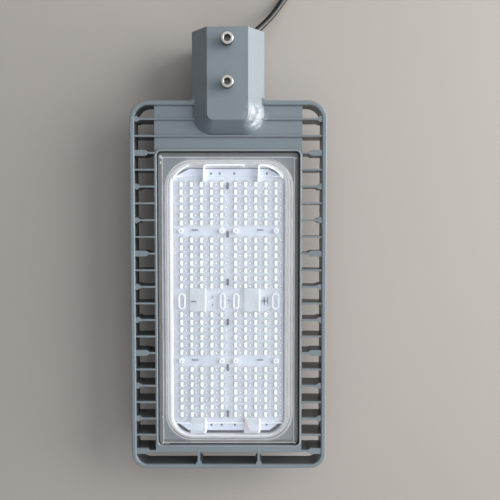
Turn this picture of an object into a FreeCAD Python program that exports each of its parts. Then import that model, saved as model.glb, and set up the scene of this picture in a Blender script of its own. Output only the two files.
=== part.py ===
import FreeCAD, Part
import math
import os

os.makedirs("parts", exist_ok=True)
V = FreeCAD.Vector

# LED street light head lying on its back, lit face up, in millimetres.
# X runs across, +Y points at the pole, +Z points out of the lit face.
# The origin is at the bottom of the head, in the middle of its length and width.

# Outer rail
OVERALL_LENGTH = 468.0
RAIL_WIDTH = 210.0
RAIL_HEIGHT = 26.0
RAIL_SIDE_WALL = 5.0
RAIL_HEAD_WALL = 5.0
RAIL_FOOT_WALL = 4.0
RAIL_HEAD_R = 20.0
RAIL_FOOT_R = 16.0
RAIL_EDGE_R = 1.2

# Heights, from the resting plane up to the lit face
COVER_T = 3.0
COVER_GASKET_T = 1.0
COMPARTMENT_H = 38.0
FLOOR_T = 5.0
WELL_DEPTH = 7.0
LIP_H = 6.0
SHELF_DROP = 2.0
SHELF_T = 4.0
RAIL_RISE = 1.0

# Cooling fins between the rail and the body
FIN_PITCH = 17.9
FIN_END_ROOM = 10.0
FIN_T = 2.0
FIN_DEPTH = 33.0
FIN_DROP = 0.8
RIDGE_FINS = 2
LUG_REACH = 6.5
LUG_R = 3.2
LUG_ROOT_W = 5.8
BLOCK_REACH = 14.0
BLOCK_W = 6.3
BLOCK_TIP = 3.0
BLOCK_FIRST = 2
BLOCK_STEP = 6
FOOT_RIB_X = 32.5
FOOT_RIB_T = 2.6

# Body and the window in it
BODY_WIDTH = 158.0
BODY_RIM_W = 2.0
HEAD_SECTION = 48.0
FOOT_SLOT = 13.2
FOOT_BAND = 6.8
WINDOW_R = 5.0
WINDOW_HEAD_WALL = 3.0
LIP_W = 2.0
GROOVE_W = 5.0
GROOVE_DEPTH = 2.0
WELL_SIDE_MARGIN = 9.0
WELL_HEAD_MARGIN = 8.6
WELL_FOOT_MARGIN = 5.6
WELL_R = 29.0

# Driver compartment on the back
COMPARTMENT_WIDTH = 100.0
COMPARTMENT_WALL = 3.0
SOCKET_END_WALL = 6.0
COVER_SCREW_R = 2.0
COVER_SCREW_HEAD_R = 4.0
COVER_SCREW_HEAD_H = 2.2
COVER_SCREW_LENGTH = 12.0
COVER_SCREW_ROWS = 4
COVER_SCREW_INSET = 4.0
COVER_POST_R = 5.0
SCREW_END_ROOM = 0.5

# Pole socket
POLE_D = 60.0
POLE_CLEARANCE = 0.5
SOCKET_WIDTH = 77.0
SOCKET_H = 77.0
SOCKET_FLAT = 42.8
SOCKET_SIDE = 38.0
SOCKET_INSIDE_RAIL = 18.1
SOCKET_END_SET = 1.0
SOCKET_CAP_RUN = 13.4
SOCKET_CAP_R = 22.0
SOCKET_FLAT_R = 6.5
BORE_CHAMFER = 1.2
CLAMP_FROM_MOUTH = 14.55
CLAMP_SPLIT = 0.4587
CLAMP_R = 4.0
CLAMP_HEAD_R = 6.5
CLAMP_HEAD_H = 8.0
CLAMP_HEAD_GAP = 4.0
CLAMP_TIP_GAP = 1.0
CLAMP_HEX = 6.0
CLAMP_HEX_DEPTH = 4.5
CLAMP_EDGE_R = 0.8

# Optical parts
LENS_COVER_T = 3.0
LENS_COVER_EDGE_GAP = 1.7
LENS_COVER_RISE = 2.5
LENS_COVER_STEP_MARGIN = 5.5
LENS_COVER_STEP_R = 31.0
SEAL_TOP_W = 2.6
SEAL_SIDE_W = 9.4
SEAL_END_W = 5.0
BOARD_SIDE_GAP = 1.2
BOARD_HEAD_GAP = 4.6
BOARD_FOOT_GAP = 6.4
BOARD_LENGTH = 141.6
BOARD_BREAK = 0.4
BOARD_T = 1.6
BOARD_CHAMFER = 13.0
LED_COLUMNS = 5
LED_CENTRE_GAP = 15.0
LED_ROWS_HEAD = 6
LED_ROWS_FOOT = 7
HOLE_ROW_GAP = 18.7
LED_SIZE = 3.0
LED_H = 0.7
LENS_T = 1.8
LENS_SKIRT_H = 1.0
LENS_SKIRT_W = 1.6
LENS_SIDE_SET = 0.8
LENS_FROM_FOOT = 5.3
LENS_FROM_HEAD = 8.6
LENS_ROW_FOOT_EDGE = 9.8
LENS_ROW_HEAD_EDGE = 7.35
LENS_COLUMN_EDGE = 5.0
LENS_R = 4.0
DOME_X = 8.2
DOME_Y = 7.0
DOME_TOP_SHARE = 0.55
DOME_H = 2.2
HOOD_XS = (-33.3, 25.2)
HOOD_W = 17.6
HOOD_H = 5.2
HOOD_WALL = 1.2
HOOD_INSIDE = 6.0
HOOD_FOOT_REACH = 11.0
HOOD_HEAD_REACH = 2.8
LENS_SCREW_R = 1.5
LENS_SCREW_HEAD_R = 2.8
LENS_SCREW_HEAD_H = 1.6
LENS_SCREW_BITE = 3.6
LENS_SCREW_SLOT_W = 0.7
LENS_SCREW_SLOT_DEPTH = 0.8
LENS_POST_WALL = 0.6
CLIP_W = 2.8
CLIP_L = 8.2
CLIP_RISE = 0.5
CLIP_FROM_HEAD = 3.05
CLIP_PAST_HOLES = 4.4
CLIP_FROM_FOOT = 23.25
WIRE_HOLE_R = 2.6
WIRE_HOLES_X = (-38.5, 27.5)
WIRE_HOLE_FROM_FOOT = 4.6

# Driver, surge protector and terminals
DRIVER_W = 54.0
DRIVER_H = 29.0
DRIVER_LENGTH = 128.0
DRIVER_X = -7.0
DRIVER_FOOT_GAP = 14.0
EAR_LENGTH = 10.0
EAR_T = 3.0
EAR_BOSS_H = 6.0
EAR_BOSS_R = 4.5
EAR_SCREW_R = 2.0
EAR_SCREW_HEAD_R = 3.8
EAR_SCREW_HEAD_H = 2.4
EAR_SCREW_BITE = 7.5
SURGE_W = 28.0
SURGE_H = 24.0
SURGE_LENGTH = 38.0
SURGE_X = -28.0
SURGE_FROM_DRIVER = 27.0
SURGE_TO_END = 27.9
BLOCK_LENGTH = 20.0
TERMINAL_W = 34.0
TERMINAL_H = 16.0
TERMINAL_X = 22.0
TERMINAL_WAYS = 3
TERMINAL_SCREW_R = 2.2
TERMINAL_SCREW_H = 1.2
TERMINAL_SLOT_W = 0.8
TERMINAL_ENTRY_DROP = 3.0
UNIT_EDGE_R = 2.0

# Cable entry
GLAND_THREAD_R = 8.0
GLAND_HEX = 22.0
GLAND_HEX_T = 5.0
GLAND_NUT_R = 10.5
GLAND_NUT_L = 14.0
GLAND_NUT_DOME_R = 2.5
GLAND_NUT_GRIPS = 12
GLAND_NUT_GRIP_R = 0.9
GLAND_NUT_GRIP_L = 8.4
GLAND_THREAD_END = 1.0
GLAND_LOCKNUT_T = 4.0
GLAND_BELOW_AXIS = 9.5
GLAND_SEAL_R = 5.5
GLAND_SEAL_L = 10.0
VENT_R = 6.0
VENT_CAP_R = 8.0
VENT_CAP_T = 5.0
VENT_Z = 17.0
VENT_NUT_T = 3.0
VENT_NUT_ACROSS = 17.0
VENT_EDGE_R = 1.5
VENT_STEM_END = 2.0

# Supply cable
CABLE_D = 7.0
CORE_R = 1.2
CORE_SPREAD = 1.6
CORE_DROP = 0.8
CORE_LIFT = 1.4
LEAD_R = 1.2
LINK_R = 1.0
SHEATH_INSIDE = 8.0
COIL_OUTER_R = 45.5
COIL_TURNS_WIDE = 3
COIL_LAYERS = 2
COIL_EDGE_R = 2.8
COIL_STUB = 28.0
CABLE_END = (68.4, 295.2)
CABLE_END_DEG = 37.7
TAIL_STUB = 28.0

# Small clearances
FIT_GAP = 0.1
SLIDE_GAP = 0.3

# Levels and places worked out from the sizes above
RIM_Z = COVER_T + COVER_GASKET_T
CEILING_Z = RIM_Z + COMPARTMENT_H
BOARD_Z = CEILING_Z + FLOOR_T
LEDGE_Z = BOARD_Z + WELL_DEPTH
LIP_Z = LEDGE_Z + LIP_H
SHELF_Z = LIP_Z - SHELF_DROP
SHELF_UNDER_Z = SHELF_Z - SHELF_T
RAIL_Z = LIP_Z + RAIL_RISE
RAIL_LOW_Z = RAIL_Z - RAIL_HEIGHT
FIN_TOP_Z = RAIL_Z - FIN_DROP
FIN_LOW_Z = RAIL_Z - FIN_DEPTH
MOUTH_Y = OVERALL_LENGTH / 2
RAIL_FOOT_Y = -OVERALL_LENGTH / 2
INNER_FOOT_Y = RAIL_FOOT_Y + RAIL_FOOT_WALL
BODY_FOOT_Y = INNER_FOOT_Y + FOOT_SLOT
WINDOW_FOOT_Y = BODY_FOOT_Y + FOOT_BAND
WELL_FOOT_Y = WINDOW_FOOT_Y + WELL_FOOT_MARGIN
BOARD_FOOT_Y = WELL_FOOT_Y + FIT_GAP + SEAL_END_W + BOARD_FOOT_GAP
MODULE_PITCH = BOARD_LENGTH + BOARD_BREAK
MODULE_FEET_Y = (BOARD_FOOT_Y + MODULE_PITCH, BOARD_FOOT_Y)
BOARD_HEAD_Y = BOARD_FOOT_Y + MODULE_PITCH + BOARD_LENGTH
WELL_HEAD_Y = BOARD_HEAD_Y + BOARD_HEAD_GAP + SEAL_END_W + FIT_GAP
WINDOW_HEAD_Y = WELL_HEAD_Y + WELL_HEAD_MARGIN
INNER_HEAD_Y = WINDOW_HEAD_Y + HEAD_SECTION
RAIL_HEAD_Y = INNER_HEAD_Y + RAIL_HEAD_WALL
INNER_X = RAIL_WIDTH / 2 - RAIL_SIDE_WALL
FIN_MID_Y = (INNER_FOOT_Y + INNER_HEAD_Y) / 2
FIN_ROOM = INNER_HEAD_Y - INNER_FOOT_Y - 2 * FIN_END_ROOM
FIN_COUNT = int(FIN_ROOM / FIN_PITCH) + 1
BODY_X = BODY_WIDTH / 2
WINDOW_X = BODY_X - BODY_RIM_W
WELL_X = WINDOW_X - WELL_SIDE_MARGIN
BORE_R = (POLE_D + POLE_CLEARANCE) / 2
AXIS_Z = SOCKET_H / 2
FLAT_INNER_Y = INNER_HEAD_Y - SOCKET_INSIDE_RAIL
CAP_FOOT_Y = FLAT_INNER_Y - SOCKET_CAP_RUN
SIDE_LOW_Z = (SOCKET_H - SOCKET_SIDE) / 2
SIDE_HIGH_Z = SOCKET_H - SIDE_LOW_Z
BOX_X = COMPARTMENT_WIDTH / 2
BOX_INNER_X = BOX_X - COMPARTMENT_WALL
BOX_INNER_HEAD_Y = FLAT_INNER_Y - SOCKET_END_SET
BOX_HEAD_Y = BOX_INNER_HEAD_Y + SOCKET_END_WALL
SURGE_FOOT_Y = BOX_INNER_HEAD_Y - SURGE_TO_END - SURGE_LENGTH
DRIVER_HEAD_Y = SURGE_FOOT_Y - SURGE_FROM_DRIVER
DRIVER_FOOT_Y = DRIVER_HEAD_Y - DRIVER_LENGTH
BOX_INNER_FOOT_Y = DRIVER_FOOT_Y - DRIVER_FOOT_GAP
COMPARTMENT_FOOT_Y = BOX_INNER_FOOT_Y - COMPARTMENT_WALL
GLAND_Z = AXIS_Z - GLAND_BELOW_AXIS
CABLE_R = CABLE_D / 2
COIL_H = COIL_LAYERS * CABLE_D
BOARD_X = WELL_X - FIT_GAP - SEAL_SIDE_W - BOARD_SIDE_GAP
BOARD_TOP_Z = BOARD_Z + BOARD_T
LENS_X = BOARD_X - LENS_SIDE_SET
LENS_LENGTH = BOARD_LENGTH - LENS_FROM_FOOT - LENS_FROM_HEAD
LENS_UNDER_Z = BOARD_TOP_Z + LENS_SKIRT_H
LENS_TOP_Z = LENS_UNDER_Z + LENS_T
LED_PITCH_X = (LENS_X - LENS_COLUMN_EDGE - LED_CENTRE_GAP / 2) / (LED_COLUMNS - 1)
LED_FIELD = LENS_LENGTH - LENS_ROW_FOOT_EDGE - LENS_ROW_HEAD_EDGE - HOLE_ROW_GAP
LED_PITCH_Y = LED_FIELD / (LED_ROWS_HEAD + LED_ROWS_FOOT - 2)
LED_FOOT_PART = (LED_ROWS_FOOT - 1) * LED_PITCH_Y + HOLE_ROW_GAP / 2
HOLE_ROW_FROM_FOOT = LENS_FROM_FOOT + LENS_ROW_FOOT_EDGE + LED_FOOT_PART


def box(x0, x1, y0, y1, z0, z1):
    return Part.makeBox(x1 - x0, y1 - y0, z1 - z0, V(x0, y0, z0))


def disc(r, x, y, z0, z1):
    return Part.makeCylinder(r, z1 - z0, V(x, y, z0))


def bar(r, x, z, y0, y1):
    return Part.makeCylinder(r, y1 - y0, V(x, y0, z), V(0, 1, 0))


def fused(shapes):
    return shapes[0].multiFuse(shapes[1:]).removeSplitter()


def rounded_outline(half, foot, head, r_foot, r_head, z):
    """Closed outline of a rectangle with one radius at the foot corners and one at the head."""
    corners = [
        (half - r_foot, foot + r_foot, r_foot, -90),
        (half - r_head, head - r_head, r_head, 0),
        (-half + r_head, head - r_head, r_head, 90),
        (-half + r_foot, foot + r_foot, r_foot, 180),
    ]
    arcs = [arc_at(x, y, z, r, start) for x, y, r, start in corners]
    edges = []
    for i, arc in enumerate(arcs):
        following = arcs[(i + 1) % len(arcs)]
        edges.append(arc.toShape())
        edges.append(Part.makeLine(arc.EndPoint, following.StartPoint))
    return Part.Wire(edges)


def arc_at(x, y, z, r, start_deg):
    points = []
    for turn in (0, 45, 90):
        angle = math.radians(start_deg + turn)
        points.append(V(x + r * math.cos(angle), y + r * math.sin(angle), z))
    return Part.Arc(*points)


def rounded_block(half, foot, head, r_foot, r_head, z0, z1):
    face = Part.Face(rounded_outline(half, foot, head, r_foot, r_head, z0))
    return face.extrude(V(0, 0, z1 - z0))


def window_block(inset, z0, z1):
    """Block in the outline of the window, pulled in by an inset."""
    r = max(WINDOW_R - inset, 0.8)
    return rounded_block(
        WINDOW_X - inset, WINDOW_FOOT_Y + inset, WINDOW_HEAD_Y - inset, r, r, z0, z1
    )


def well_block(inset, z0, z1):
    """Block in the outline of the well that holds the boards."""
    r = WELL_R - inset
    return rounded_block(
        WELL_X - inset, WELL_FOOT_Y + inset, WELL_HEAD_Y - inset, r, r, z0, z1
    )


def hexagon(across, x, z, y0, y1):
    corners = []
    for i in range(7):
        angle = math.radians(60 * i)
        r = across / math.sqrt(3)
        corners.append(V(x + r * math.cos(angle), y0, z + r * math.sin(angle)))
    return Part.Face(Part.makePolygon(corners)).extrude(V(0, y1 - y0, 0))


def rail():
    outer = rounded_block(
        RAIL_WIDTH / 2, RAIL_FOOT_Y, RAIL_HEAD_Y, RAIL_FOOT_R, RAIL_HEAD_R, RAIL_LOW_Z, RAIL_Z
    )
    inner = rounded_block(
        INNER_X,
        INNER_FOOT_Y,
        INNER_HEAD_Y,
        RAIL_FOOT_R - RAIL_FOOT_WALL,
        RAIL_HEAD_R - RAIL_HEAD_WALL,
        RAIL_LOW_Z,
        RAIL_Z,
    )
    ring = outer.cut(inner)
    lit_edges = [e for e in ring.Edges if e.BoundBox.ZMin > RAIL_Z - 0.01]
    return ring.makeFillet(RAIL_EDGE_R, lit_edges)


def fin_y(i):
    return FIN_MID_Y + (FIN_COUNT - 1 - 2 * i) / 2 * FIN_PITCH


def fins():
    """Fins across the whole back; outside the body they rise to the rail's level."""
    reach = INNER_X + RAIL_SIDE_WALL / 2
    shapes = []
    for i in range(FIN_COUNT):
        y0 = fin_y(i) - FIN_T / 2
        y1 = y0 + FIN_T
        if i < RIDGE_FINS:
            shapes.append(box(-reach, reach, y0, y1, FIN_LOW_Z, FIN_TOP_Z))
            continue
        shapes.append(box(-reach, reach, y0, y1, FIN_LOW_Z, CEILING_Z + FLOOR_T / 2))
        for x0, x1 in ((-reach, -BODY_X + LIP_W / 2), (BODY_X - LIP_W / 2, reach)):
            shapes.append(box(x0, x1, y0, y1, FIN_LOW_Z, FIN_TOP_Z))
    return shapes


def is_block_fin(i):
    return i % BLOCK_STEP == BLOCK_FIRST


def rail_block(side, y):
    """Long tapered block where a fin meets the rail."""
    x = side * (INNER_X + RAIL_SIDE_WALL / 2)
    shoulder = side * (INNER_X - BLOCK_REACH + BLOCK_TIP)
    tip = side * (INNER_X - BLOCK_REACH)
    half = BLOCK_W / 2
    points = [
        V(x, y - half, RAIL_LOW_Z),
        V(shoulder, y - half, RAIL_LOW_Z),
        V(tip, y - half / 2, RAIL_LOW_Z),
        V(tip, y + half / 2, RAIL_LOW_Z),
        V(shoulder, y + half, RAIL_LOW_Z),
        V(x, y + half, RAIL_LOW_Z),
    ]
    outline = Part.makePolygon(points + points[:1])
    return Part.Face(outline).extrude(V(0, 0, FIN_TOP_Z - RAIL_LOW_Z))


def rail_lug(side, y):
    """Small round lug with a tapered tip where a fin meets the rail."""
    centre = side * (INNER_X - LUG_R / 2)
    tip = side * (INNER_X - LUG_REACH)
    points = [
        V(centre, y - LUG_ROOT_W / 2, RAIL_LOW_Z),
        V(tip, y - FIN_T / 2, RAIL_LOW_Z),
        V(tip, y + FIN_T / 2, RAIL_LOW_Z),
        V(centre, y + LUG_ROOT_W / 2, RAIL_LOW_Z),
    ]
    wedge = Part.Face(Part.makePolygon(points + points[:1])).extrude(
        V(0, 0, FIN_TOP_Z - RAIL_LOW_Z)
    )
    return [wedge, disc(LUG_R, centre, y, RAIL_LOW_Z, FIN_TOP_Z)]


def rail_bosses():
    shapes = []
    for i in range(0, FIN_COUNT, 2):
        for side in (-1, 1):
            if is_block_fin(i):
                shapes.append(rail_block(side, fin_y(i)))
            else:
                shapes.extend(rail_lug(side, fin_y(i)))
    return shapes


def foot_ribs():
    shapes = []
    for x in (-FOOT_RIB_X, FOOT_RIB_X):
        y0 = INNER_FOOT_Y - RAIL_FOOT_WALL / 2
        y1 = BODY_FOOT_Y + FOOT_BAND / 2
        shapes.append(
            box(x - FOOT_RIB_T / 2, x + FOOT_RIB_T / 2, y0, y1, RAIL_LOW_Z, FIN_TOP_Z)
        )
        shapes.append(disc(LUG_R, x, INNER_FOOT_Y, RAIL_LOW_Z, FIN_TOP_Z))
    return shapes


def body():
    """Plate and shelf that carry the window, hollow under the shelf."""
    head = INNER_HEAD_Y + RAIL_HEAD_WALL / 2
    plate = box(-BODY_X, BODY_X, BODY_FOOT_Y, head, CEILING_Z, SHELF_Z)
    wall = COMPARTMENT_WALL
    hollow = box(
        -BODY_X + wall,
        BODY_X - wall,
        WINDOW_HEAD_Y + WINDOW_HEAD_WALL,
        INNER_HEAD_Y,
        CEILING_Z,
        SHELF_UNDER_Z,
    )
    lip = rounded_block(
        BODY_X,
        BODY_FOOT_Y,
        WINDOW_HEAD_Y + LIP_W,
        WINDOW_R / 2,
        WINDOW_R + LIP_W,
        SHELF_Z - 1,
        LIP_Z,
    )
    return plate.cut(hollow).fuse(lip)


def socket_outline(half, inner_y, r, z):
    """Outline with a square mouth end and rounded inner corners."""
    left = arc_at(-half + r, inner_y + r, z, r, 180)
    right = arc_at(half - r, inner_y + r, z, r, 270)
    mouth_left = V(-half, MOUTH_Y, z)
    mouth_right = V(half, MOUTH_Y, z)
    return Part.Wire(
        [
            Part.makeLine(mouth_left, left.StartPoint),
            left.toShape(),
            Part.makeLine(left.EndPoint, right.StartPoint),
            right.toShape(),
            Part.makeLine(right.EndPoint, mouth_right),
            Part.makeLine(mouth_right, mouth_left),
        ]
    )


def socket():
    """Eight-sided socket with a hipped inner end, before its bore is cut."""
    wide = SOCKET_WIDTH / 2
    flat = SOCKET_FLAT / 2
    middle_wire = socket_outline(wide, CAP_FOOT_Y, SOCKET_CAP_R, SIDE_HIGH_Z)
    top_wire = socket_outline(flat, FLAT_INNER_Y, SOCKET_FLAT_R, SOCKET_H)
    top = Part.makeLoft([middle_wire, top_wire], True, True)
    low_wire = socket_outline(wide, CAP_FOOT_Y, SOCKET_CAP_R, SIDE_LOW_Z)
    middle = Part.Face(low_wire).extrude(V(0, 0, SIDE_HIGH_Z - SIDE_LOW_Z))
    bottom_points = [
        V(-wide, 0, SIDE_LOW_Z),
        V(-flat, 0, 0),
        V(flat, 0, 0),
        V(wide, 0, SIDE_LOW_Z),
    ]
    profile = Part.Face(Part.makePolygon(bottom_points + bottom_points[:1]))
    profile.translate(V(0, BOX_INNER_HEAD_Y, 0))
    bottom = profile.extrude(V(0, MOUTH_Y - BOX_INNER_HEAD_Y, 0))
    cover_seat = box(
        -wide, wide, BOX_INNER_HEAD_Y - 1, BOX_HEAD_Y + SLIDE_GAP, -1, RIM_Z
    )
    return top.fuse(middle).fuse(bottom.cut(cover_seat))


def bore():
    straight = bar(BORE_R, 0, AXIS_Z, BOX_HEAD_Y, MOUTH_Y + 1)
    chamfer = Part.makeCone(
        BORE_R,
        BORE_R + 2 * BORE_CHAMFER,
        2 * BORE_CHAMFER,
        V(0, MOUTH_Y - BORE_CHAMFER, AXIS_Z),
        V(0, 1, 0),
    )
    return straight.fuse(chamfer)


def compartment_hollow():
    low = box(
        -BOX_INNER_X, BOX_INNER_X, BOX_INNER_FOOT_Y, BOX_INNER_HEAD_Y, RIM_Z - 1, CEILING_Z
    )
    high = box(
        -BOX_INNER_X,
        BOX_INNER_X,
        WINDOW_HEAD_Y + WINDOW_HEAD_WALL,
        BOX_INNER_HEAD_Y,
        CEILING_Z - 1,
        SHELF_UNDER_Z,
    )
    return low.fuse(high)


def cover_screw_points():
    x = BOX_INNER_X - COVER_SCREW_INSET
    first = BOX_INNER_FOOT_Y + COVER_SCREW_INSET
    last = BOX_INNER_HEAD_Y - COVER_SCREW_INSET
    step = (last - first) / (COVER_SCREW_ROWS - 1)
    return [(side * x, first + i * step) for i in range(COVER_SCREW_ROWS) for side in (-1, 1)]


def ear_points(x, foot_y, head_y):
    """Screw places on the ears at both ends of a box-shaped unit."""
    return [(x, foot_y - EAR_LENGTH / 2), (x, head_y + EAR_LENGTH / 2)]


def driver_ear_points():
    offset = DRIVER_W / 2 - EAR_LENGTH / 2
    points = []
    for x in (DRIVER_X - offset, DRIVER_X + offset):
        points.extend(ear_points(x, DRIVER_FOOT_Y, DRIVER_HEAD_Y))
    return points


def surge_ear_points():
    return ear_points(SURGE_X, SURGE_FOOT_Y, SURGE_FOOT_Y + SURGE_LENGTH)


def terminal_y():
    return SURGE_FOOT_Y


def terminal_ear_points():
    """One ear at each end, each between two of the block's ways."""
    foot, head = ear_points(TERMINAL_X, terminal_y(), terminal_y() + BLOCK_LENGTH)
    offset = TERMINAL_W / TERMINAL_WAYS / 2
    return [(foot[0] + offset, foot[1]), (head[0] - offset, head[1])]


def ceiling_at(y):
    beyond = WINDOW_HEAD_Y + WINDOW_HEAD_WALL - EAR_BOSS_R
    return SHELF_UNDER_Z if y > beyond else CEILING_Z


def hole_row_y(foot_y):
    return foot_y + HOLE_ROW_FROM_FOOT


def led_xs():
    inner = LED_CENTRE_GAP / 2
    right = [inner + i * LED_PITCH_X for i in range(LED_COLUMNS)]
    return [-x for x in reversed(right)] + right


def led_points(foot_y):
    middle = hole_row_y(foot_y)
    rows = [middle + HOLE_ROW_GAP / 2 + i * LED_PITCH_Y for i in range(LED_ROWS_HEAD)]
    rows += [middle - HOLE_ROW_GAP / 2 - i * LED_PITCH_Y for i in range(LED_ROWS_FOOT)]
    return [(x, y) for y in rows for x in led_xs()]


def lens_screw_points(foot_y):
    xs = led_xs()
    picked = (xs[0], xs[LED_COLUMNS - 1], xs[LED_COLUMNS], xs[-1])
    return [(x, hole_row_y(foot_y)) for x in picked]


def wire_points():
    return [(x, MODULE_FEET_Y[0] + WIRE_HOLE_FROM_FOOT) for x in WIRE_HOLES_X]


def clamp_places():
    """Outer and inner screw places along the socket's flat."""
    outer = MOUTH_Y - CLAMP_FROM_MOUTH
    return [outer, FLAT_INNER_Y + (outer - FLAT_INNER_Y) * CLAMP_SPLIT]


def inner_bosses():
    shapes = []
    for x, y in cover_screw_points():
        shapes.append(disc(COVER_POST_R, x, y, RIM_Z, ceiling_at(y) + 1))
    for x, y in driver_ear_points() + surge_ear_points() + terminal_ear_points():
        top = CEILING_Z + 1 if ceiling_at(y) == CEILING_Z else SHELF_UNDER_Z + 1
        shapes.append(disc(EAR_BOSS_R, x, y, CEILING_Z - EAR_BOSS_H, top))
    return shapes


def housing_holes():
    shapes = []
    for x, y in cover_screw_points():
        top = RIM_Z + COVER_SCREW_LENGTH + SCREW_END_ROOM
        shapes.append(disc(COVER_SCREW_R + FIT_GAP / 2, x, y, RIM_Z - 1, top))
    for x, y in driver_ear_points() + surge_ear_points() + terminal_ear_points():
        low = CEILING_Z - EAR_BOSS_H
        top = low + EAR_SCREW_BITE + SCREW_END_ROOM
        shapes.append(disc(EAR_SCREW_R + FIT_GAP / 2, x, y, low - 1, top))
    for foot_y in MODULE_FEET_Y:
        for x, y in lens_screw_points(foot_y):
            low = BOARD_Z - LENS_SCREW_BITE - SCREW_END_ROOM
            shapes.append(disc(LENS_SCREW_R + FIT_GAP / 2, x, y, low, BOARD_Z + 1))
    for x, y in wire_points():
        shapes.append(disc(WIRE_HOLE_R, x, y, CEILING_Z - 1, BOARD_Z + 1))
    for y in clamp_places():
        shapes.append(disc(CLAMP_R + FIT_GAP / 2, 0, y, AXIS_Z, SOCKET_H + 1))
    shapes.append(
        bar(GLAND_THREAD_R + FIT_GAP, 0, GLAND_Z, BOX_INNER_HEAD_Y - 1, BOX_HEAD_Y + 1)
    )
    shapes.append(
        bar(VENT_R + FIT_GAP, 0, VENT_Z, COMPARTMENT_FOOT_Y - 1, BOX_INNER_FOOT_Y + 1)
    )
    return shapes


def housing():
    box_shell = box(-BOX_X, BOX_X, COMPARTMENT_FOOT_Y, BOX_HEAD_Y, RIM_Z, SHELF_Z - 1)
    window_clear = box(
        -BOX_X, BOX_X, COMPARTMENT_FOOT_Y, WINDOW_HEAD_Y, BOARD_Z, SHELF_Z
    )
    shell = box_shell.cut(window_clear)
    solids = [rail(), body(), shell, socket()]
    solids += fins() + rail_bosses() + foot_ribs()
    casting = fused(solids)
    cavities = [
        window_block(0, LEDGE_Z, LIP_Z + 5),
        window_block(0, LEDGE_Z - GROOVE_DEPTH, LEDGE_Z + 1).cut(
            window_block(GROOVE_W, LEDGE_Z - GROOVE_DEPTH - 1, LEDGE_Z + 2)
        ),
        well_block(0, BOARD_Z, LEDGE_Z + 1),
        compartment_hollow(),
        bore(),
    ]
    casting = casting.cut(cavities)
    casting = fused([casting] + inner_bosses())
    return casting.cut(housing_holes()).removeSplitter()


def countersunk(x, y, tip_z):
    head = Part.makeCone(COVER_SCREW_HEAD_R, COVER_SCREW_R, COVER_SCREW_HEAD_H, V(x, y, 0))
    return head.fuse(disc(COVER_SCREW_R, x, y, COVER_SCREW_HEAD_H - 0.1, tip_z))


def driver_cover():
    plate = box(-BOX_X, BOX_X, COMPARTMENT_FOOT_Y, BOX_HEAD_Y, 0, COVER_T)
    corners = [e for e in plate.Edges if abs(e.BoundBox.ZLength - COVER_T) < 0.01]
    plate = plate.makeFillet(COMPARTMENT_WALL / 2, corners)
    gap = FIT_GAP / 2
    for x, y in cover_screw_points():
        cone = Part.makeCone(
            COVER_SCREW_HEAD_R + gap, COVER_SCREW_R + gap, COVER_SCREW_HEAD_H, V(x, y, 0)
        )
        plate = plate.cut(cone).cut(disc(COVER_SCREW_R + gap, x, y, -1, COVER_T + 1))
    return plate


def driver_cover_gasket():
    ring = box(-BOX_X, BOX_X, COMPARTMENT_FOOT_Y, BOX_HEAD_Y, COVER_T, RIM_Z)
    ring = ring.cut(
        box(-BOX_INNER_X, BOX_INNER_X, BOX_INNER_FOOT_Y, BOX_INNER_HEAD_Y, 0, CEILING_Z)
    )
    ears = [disc(COVER_POST_R, x, y, COVER_T, RIM_Z) for x, y in cover_screw_points()]
    holes = [
        disc(COVER_SCREW_R + FIT_GAP, x, y, 0, CEILING_Z) for x, y in cover_screw_points()
    ]
    return fused([ring] + ears).cut(holes)


def driver_cover_screws():
    tip = RIM_Z + COVER_SCREW_LENGTH
    return [countersunk(x, y, tip) for x, y in cover_screw_points()]


def eared_unit(x, width, foot_y, length, low_z, high_z, ears):
    """Potted unit with screw ears that seat on the compartment's bosses."""
    core = box(x - width / 2, x + width / 2, foot_y, foot_y + length, low_z, high_z)
    upright = [e for e in core.Edges if abs(e.BoundBox.ZLength - (high_z - low_z)) < 0.01]
    core = core.makeFillet(UNIT_EDGE_R, upright)
    seat = CEILING_Z - EAR_BOSS_H
    shapes = [core]
    for ex, ey in ears:
        half = EAR_LENGTH / 2
        shapes.append(box(ex - half, ex + half, ey - half, ey + half, seat - EAR_T, seat))
    unit = fused(shapes)
    holes = [disc(EAR_SCREW_R + SLIDE_GAP, ex, ey, 0, LIP_Z) for ex, ey in ears]
    return unit.cut(holes)


def ear_screws(points):
    seat = CEILING_Z - EAR_BOSS_H
    low = seat - EAR_T
    screws = []
    for x, y in points:
        head = disc(EAR_SCREW_HEAD_R, x, y, low - EAR_SCREW_HEAD_H, low)
        screws.append(head.fuse(disc(EAR_SCREW_R, x, y, low - 1, seat + EAR_SCREW_BITE)))
    return screws


def led_driver():
    high = CEILING_Z - SLIDE_GAP
    return eared_unit(
        DRIVER_X,
        DRIVER_W,
        DRIVER_FOOT_Y,
        DRIVER_LENGTH,
        high - DRIVER_H,
        high,
        driver_ear_points(),
    )


def surge_protector():
    high = CEILING_Z - SLIDE_GAP
    return eared_unit(
        SURGE_X, SURGE_W, SURGE_FOOT_Y, SURGE_LENGTH, high - SURGE_H, high, surge_ear_points()
    )


def way_x(i):
    return TERMINAL_X + (i - (TERMINAL_WAYS - 1) / 2) * TERMINAL_W / TERMINAL_WAYS


def terminal_wire_z():
    return CEILING_Z - SLIDE_GAP - TERMINAL_H / 2 - TERMINAL_ENTRY_DROP


def terminal_block():
    high = CEILING_Z - SLIDE_GAP
    block = eared_unit(
        TERMINAL_X,
        TERMINAL_W,
        terminal_y(),
        BLOCK_LENGTH,
        high - TERMINAL_H,
        high,
        terminal_ear_points(),
    )
    for i in range(TERMINAL_WAYS):
        well = disc(
            TERMINAL_SCREW_R + FIT_GAP,
            way_x(i),
            terminal_y() + BLOCK_LENGTH / 2,
            high - TERMINAL_H - 1,
            high - TERMINAL_H + 2 * TERMINAL_SCREW_H,
        )
        block = block.cut(well)
    return block


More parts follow.
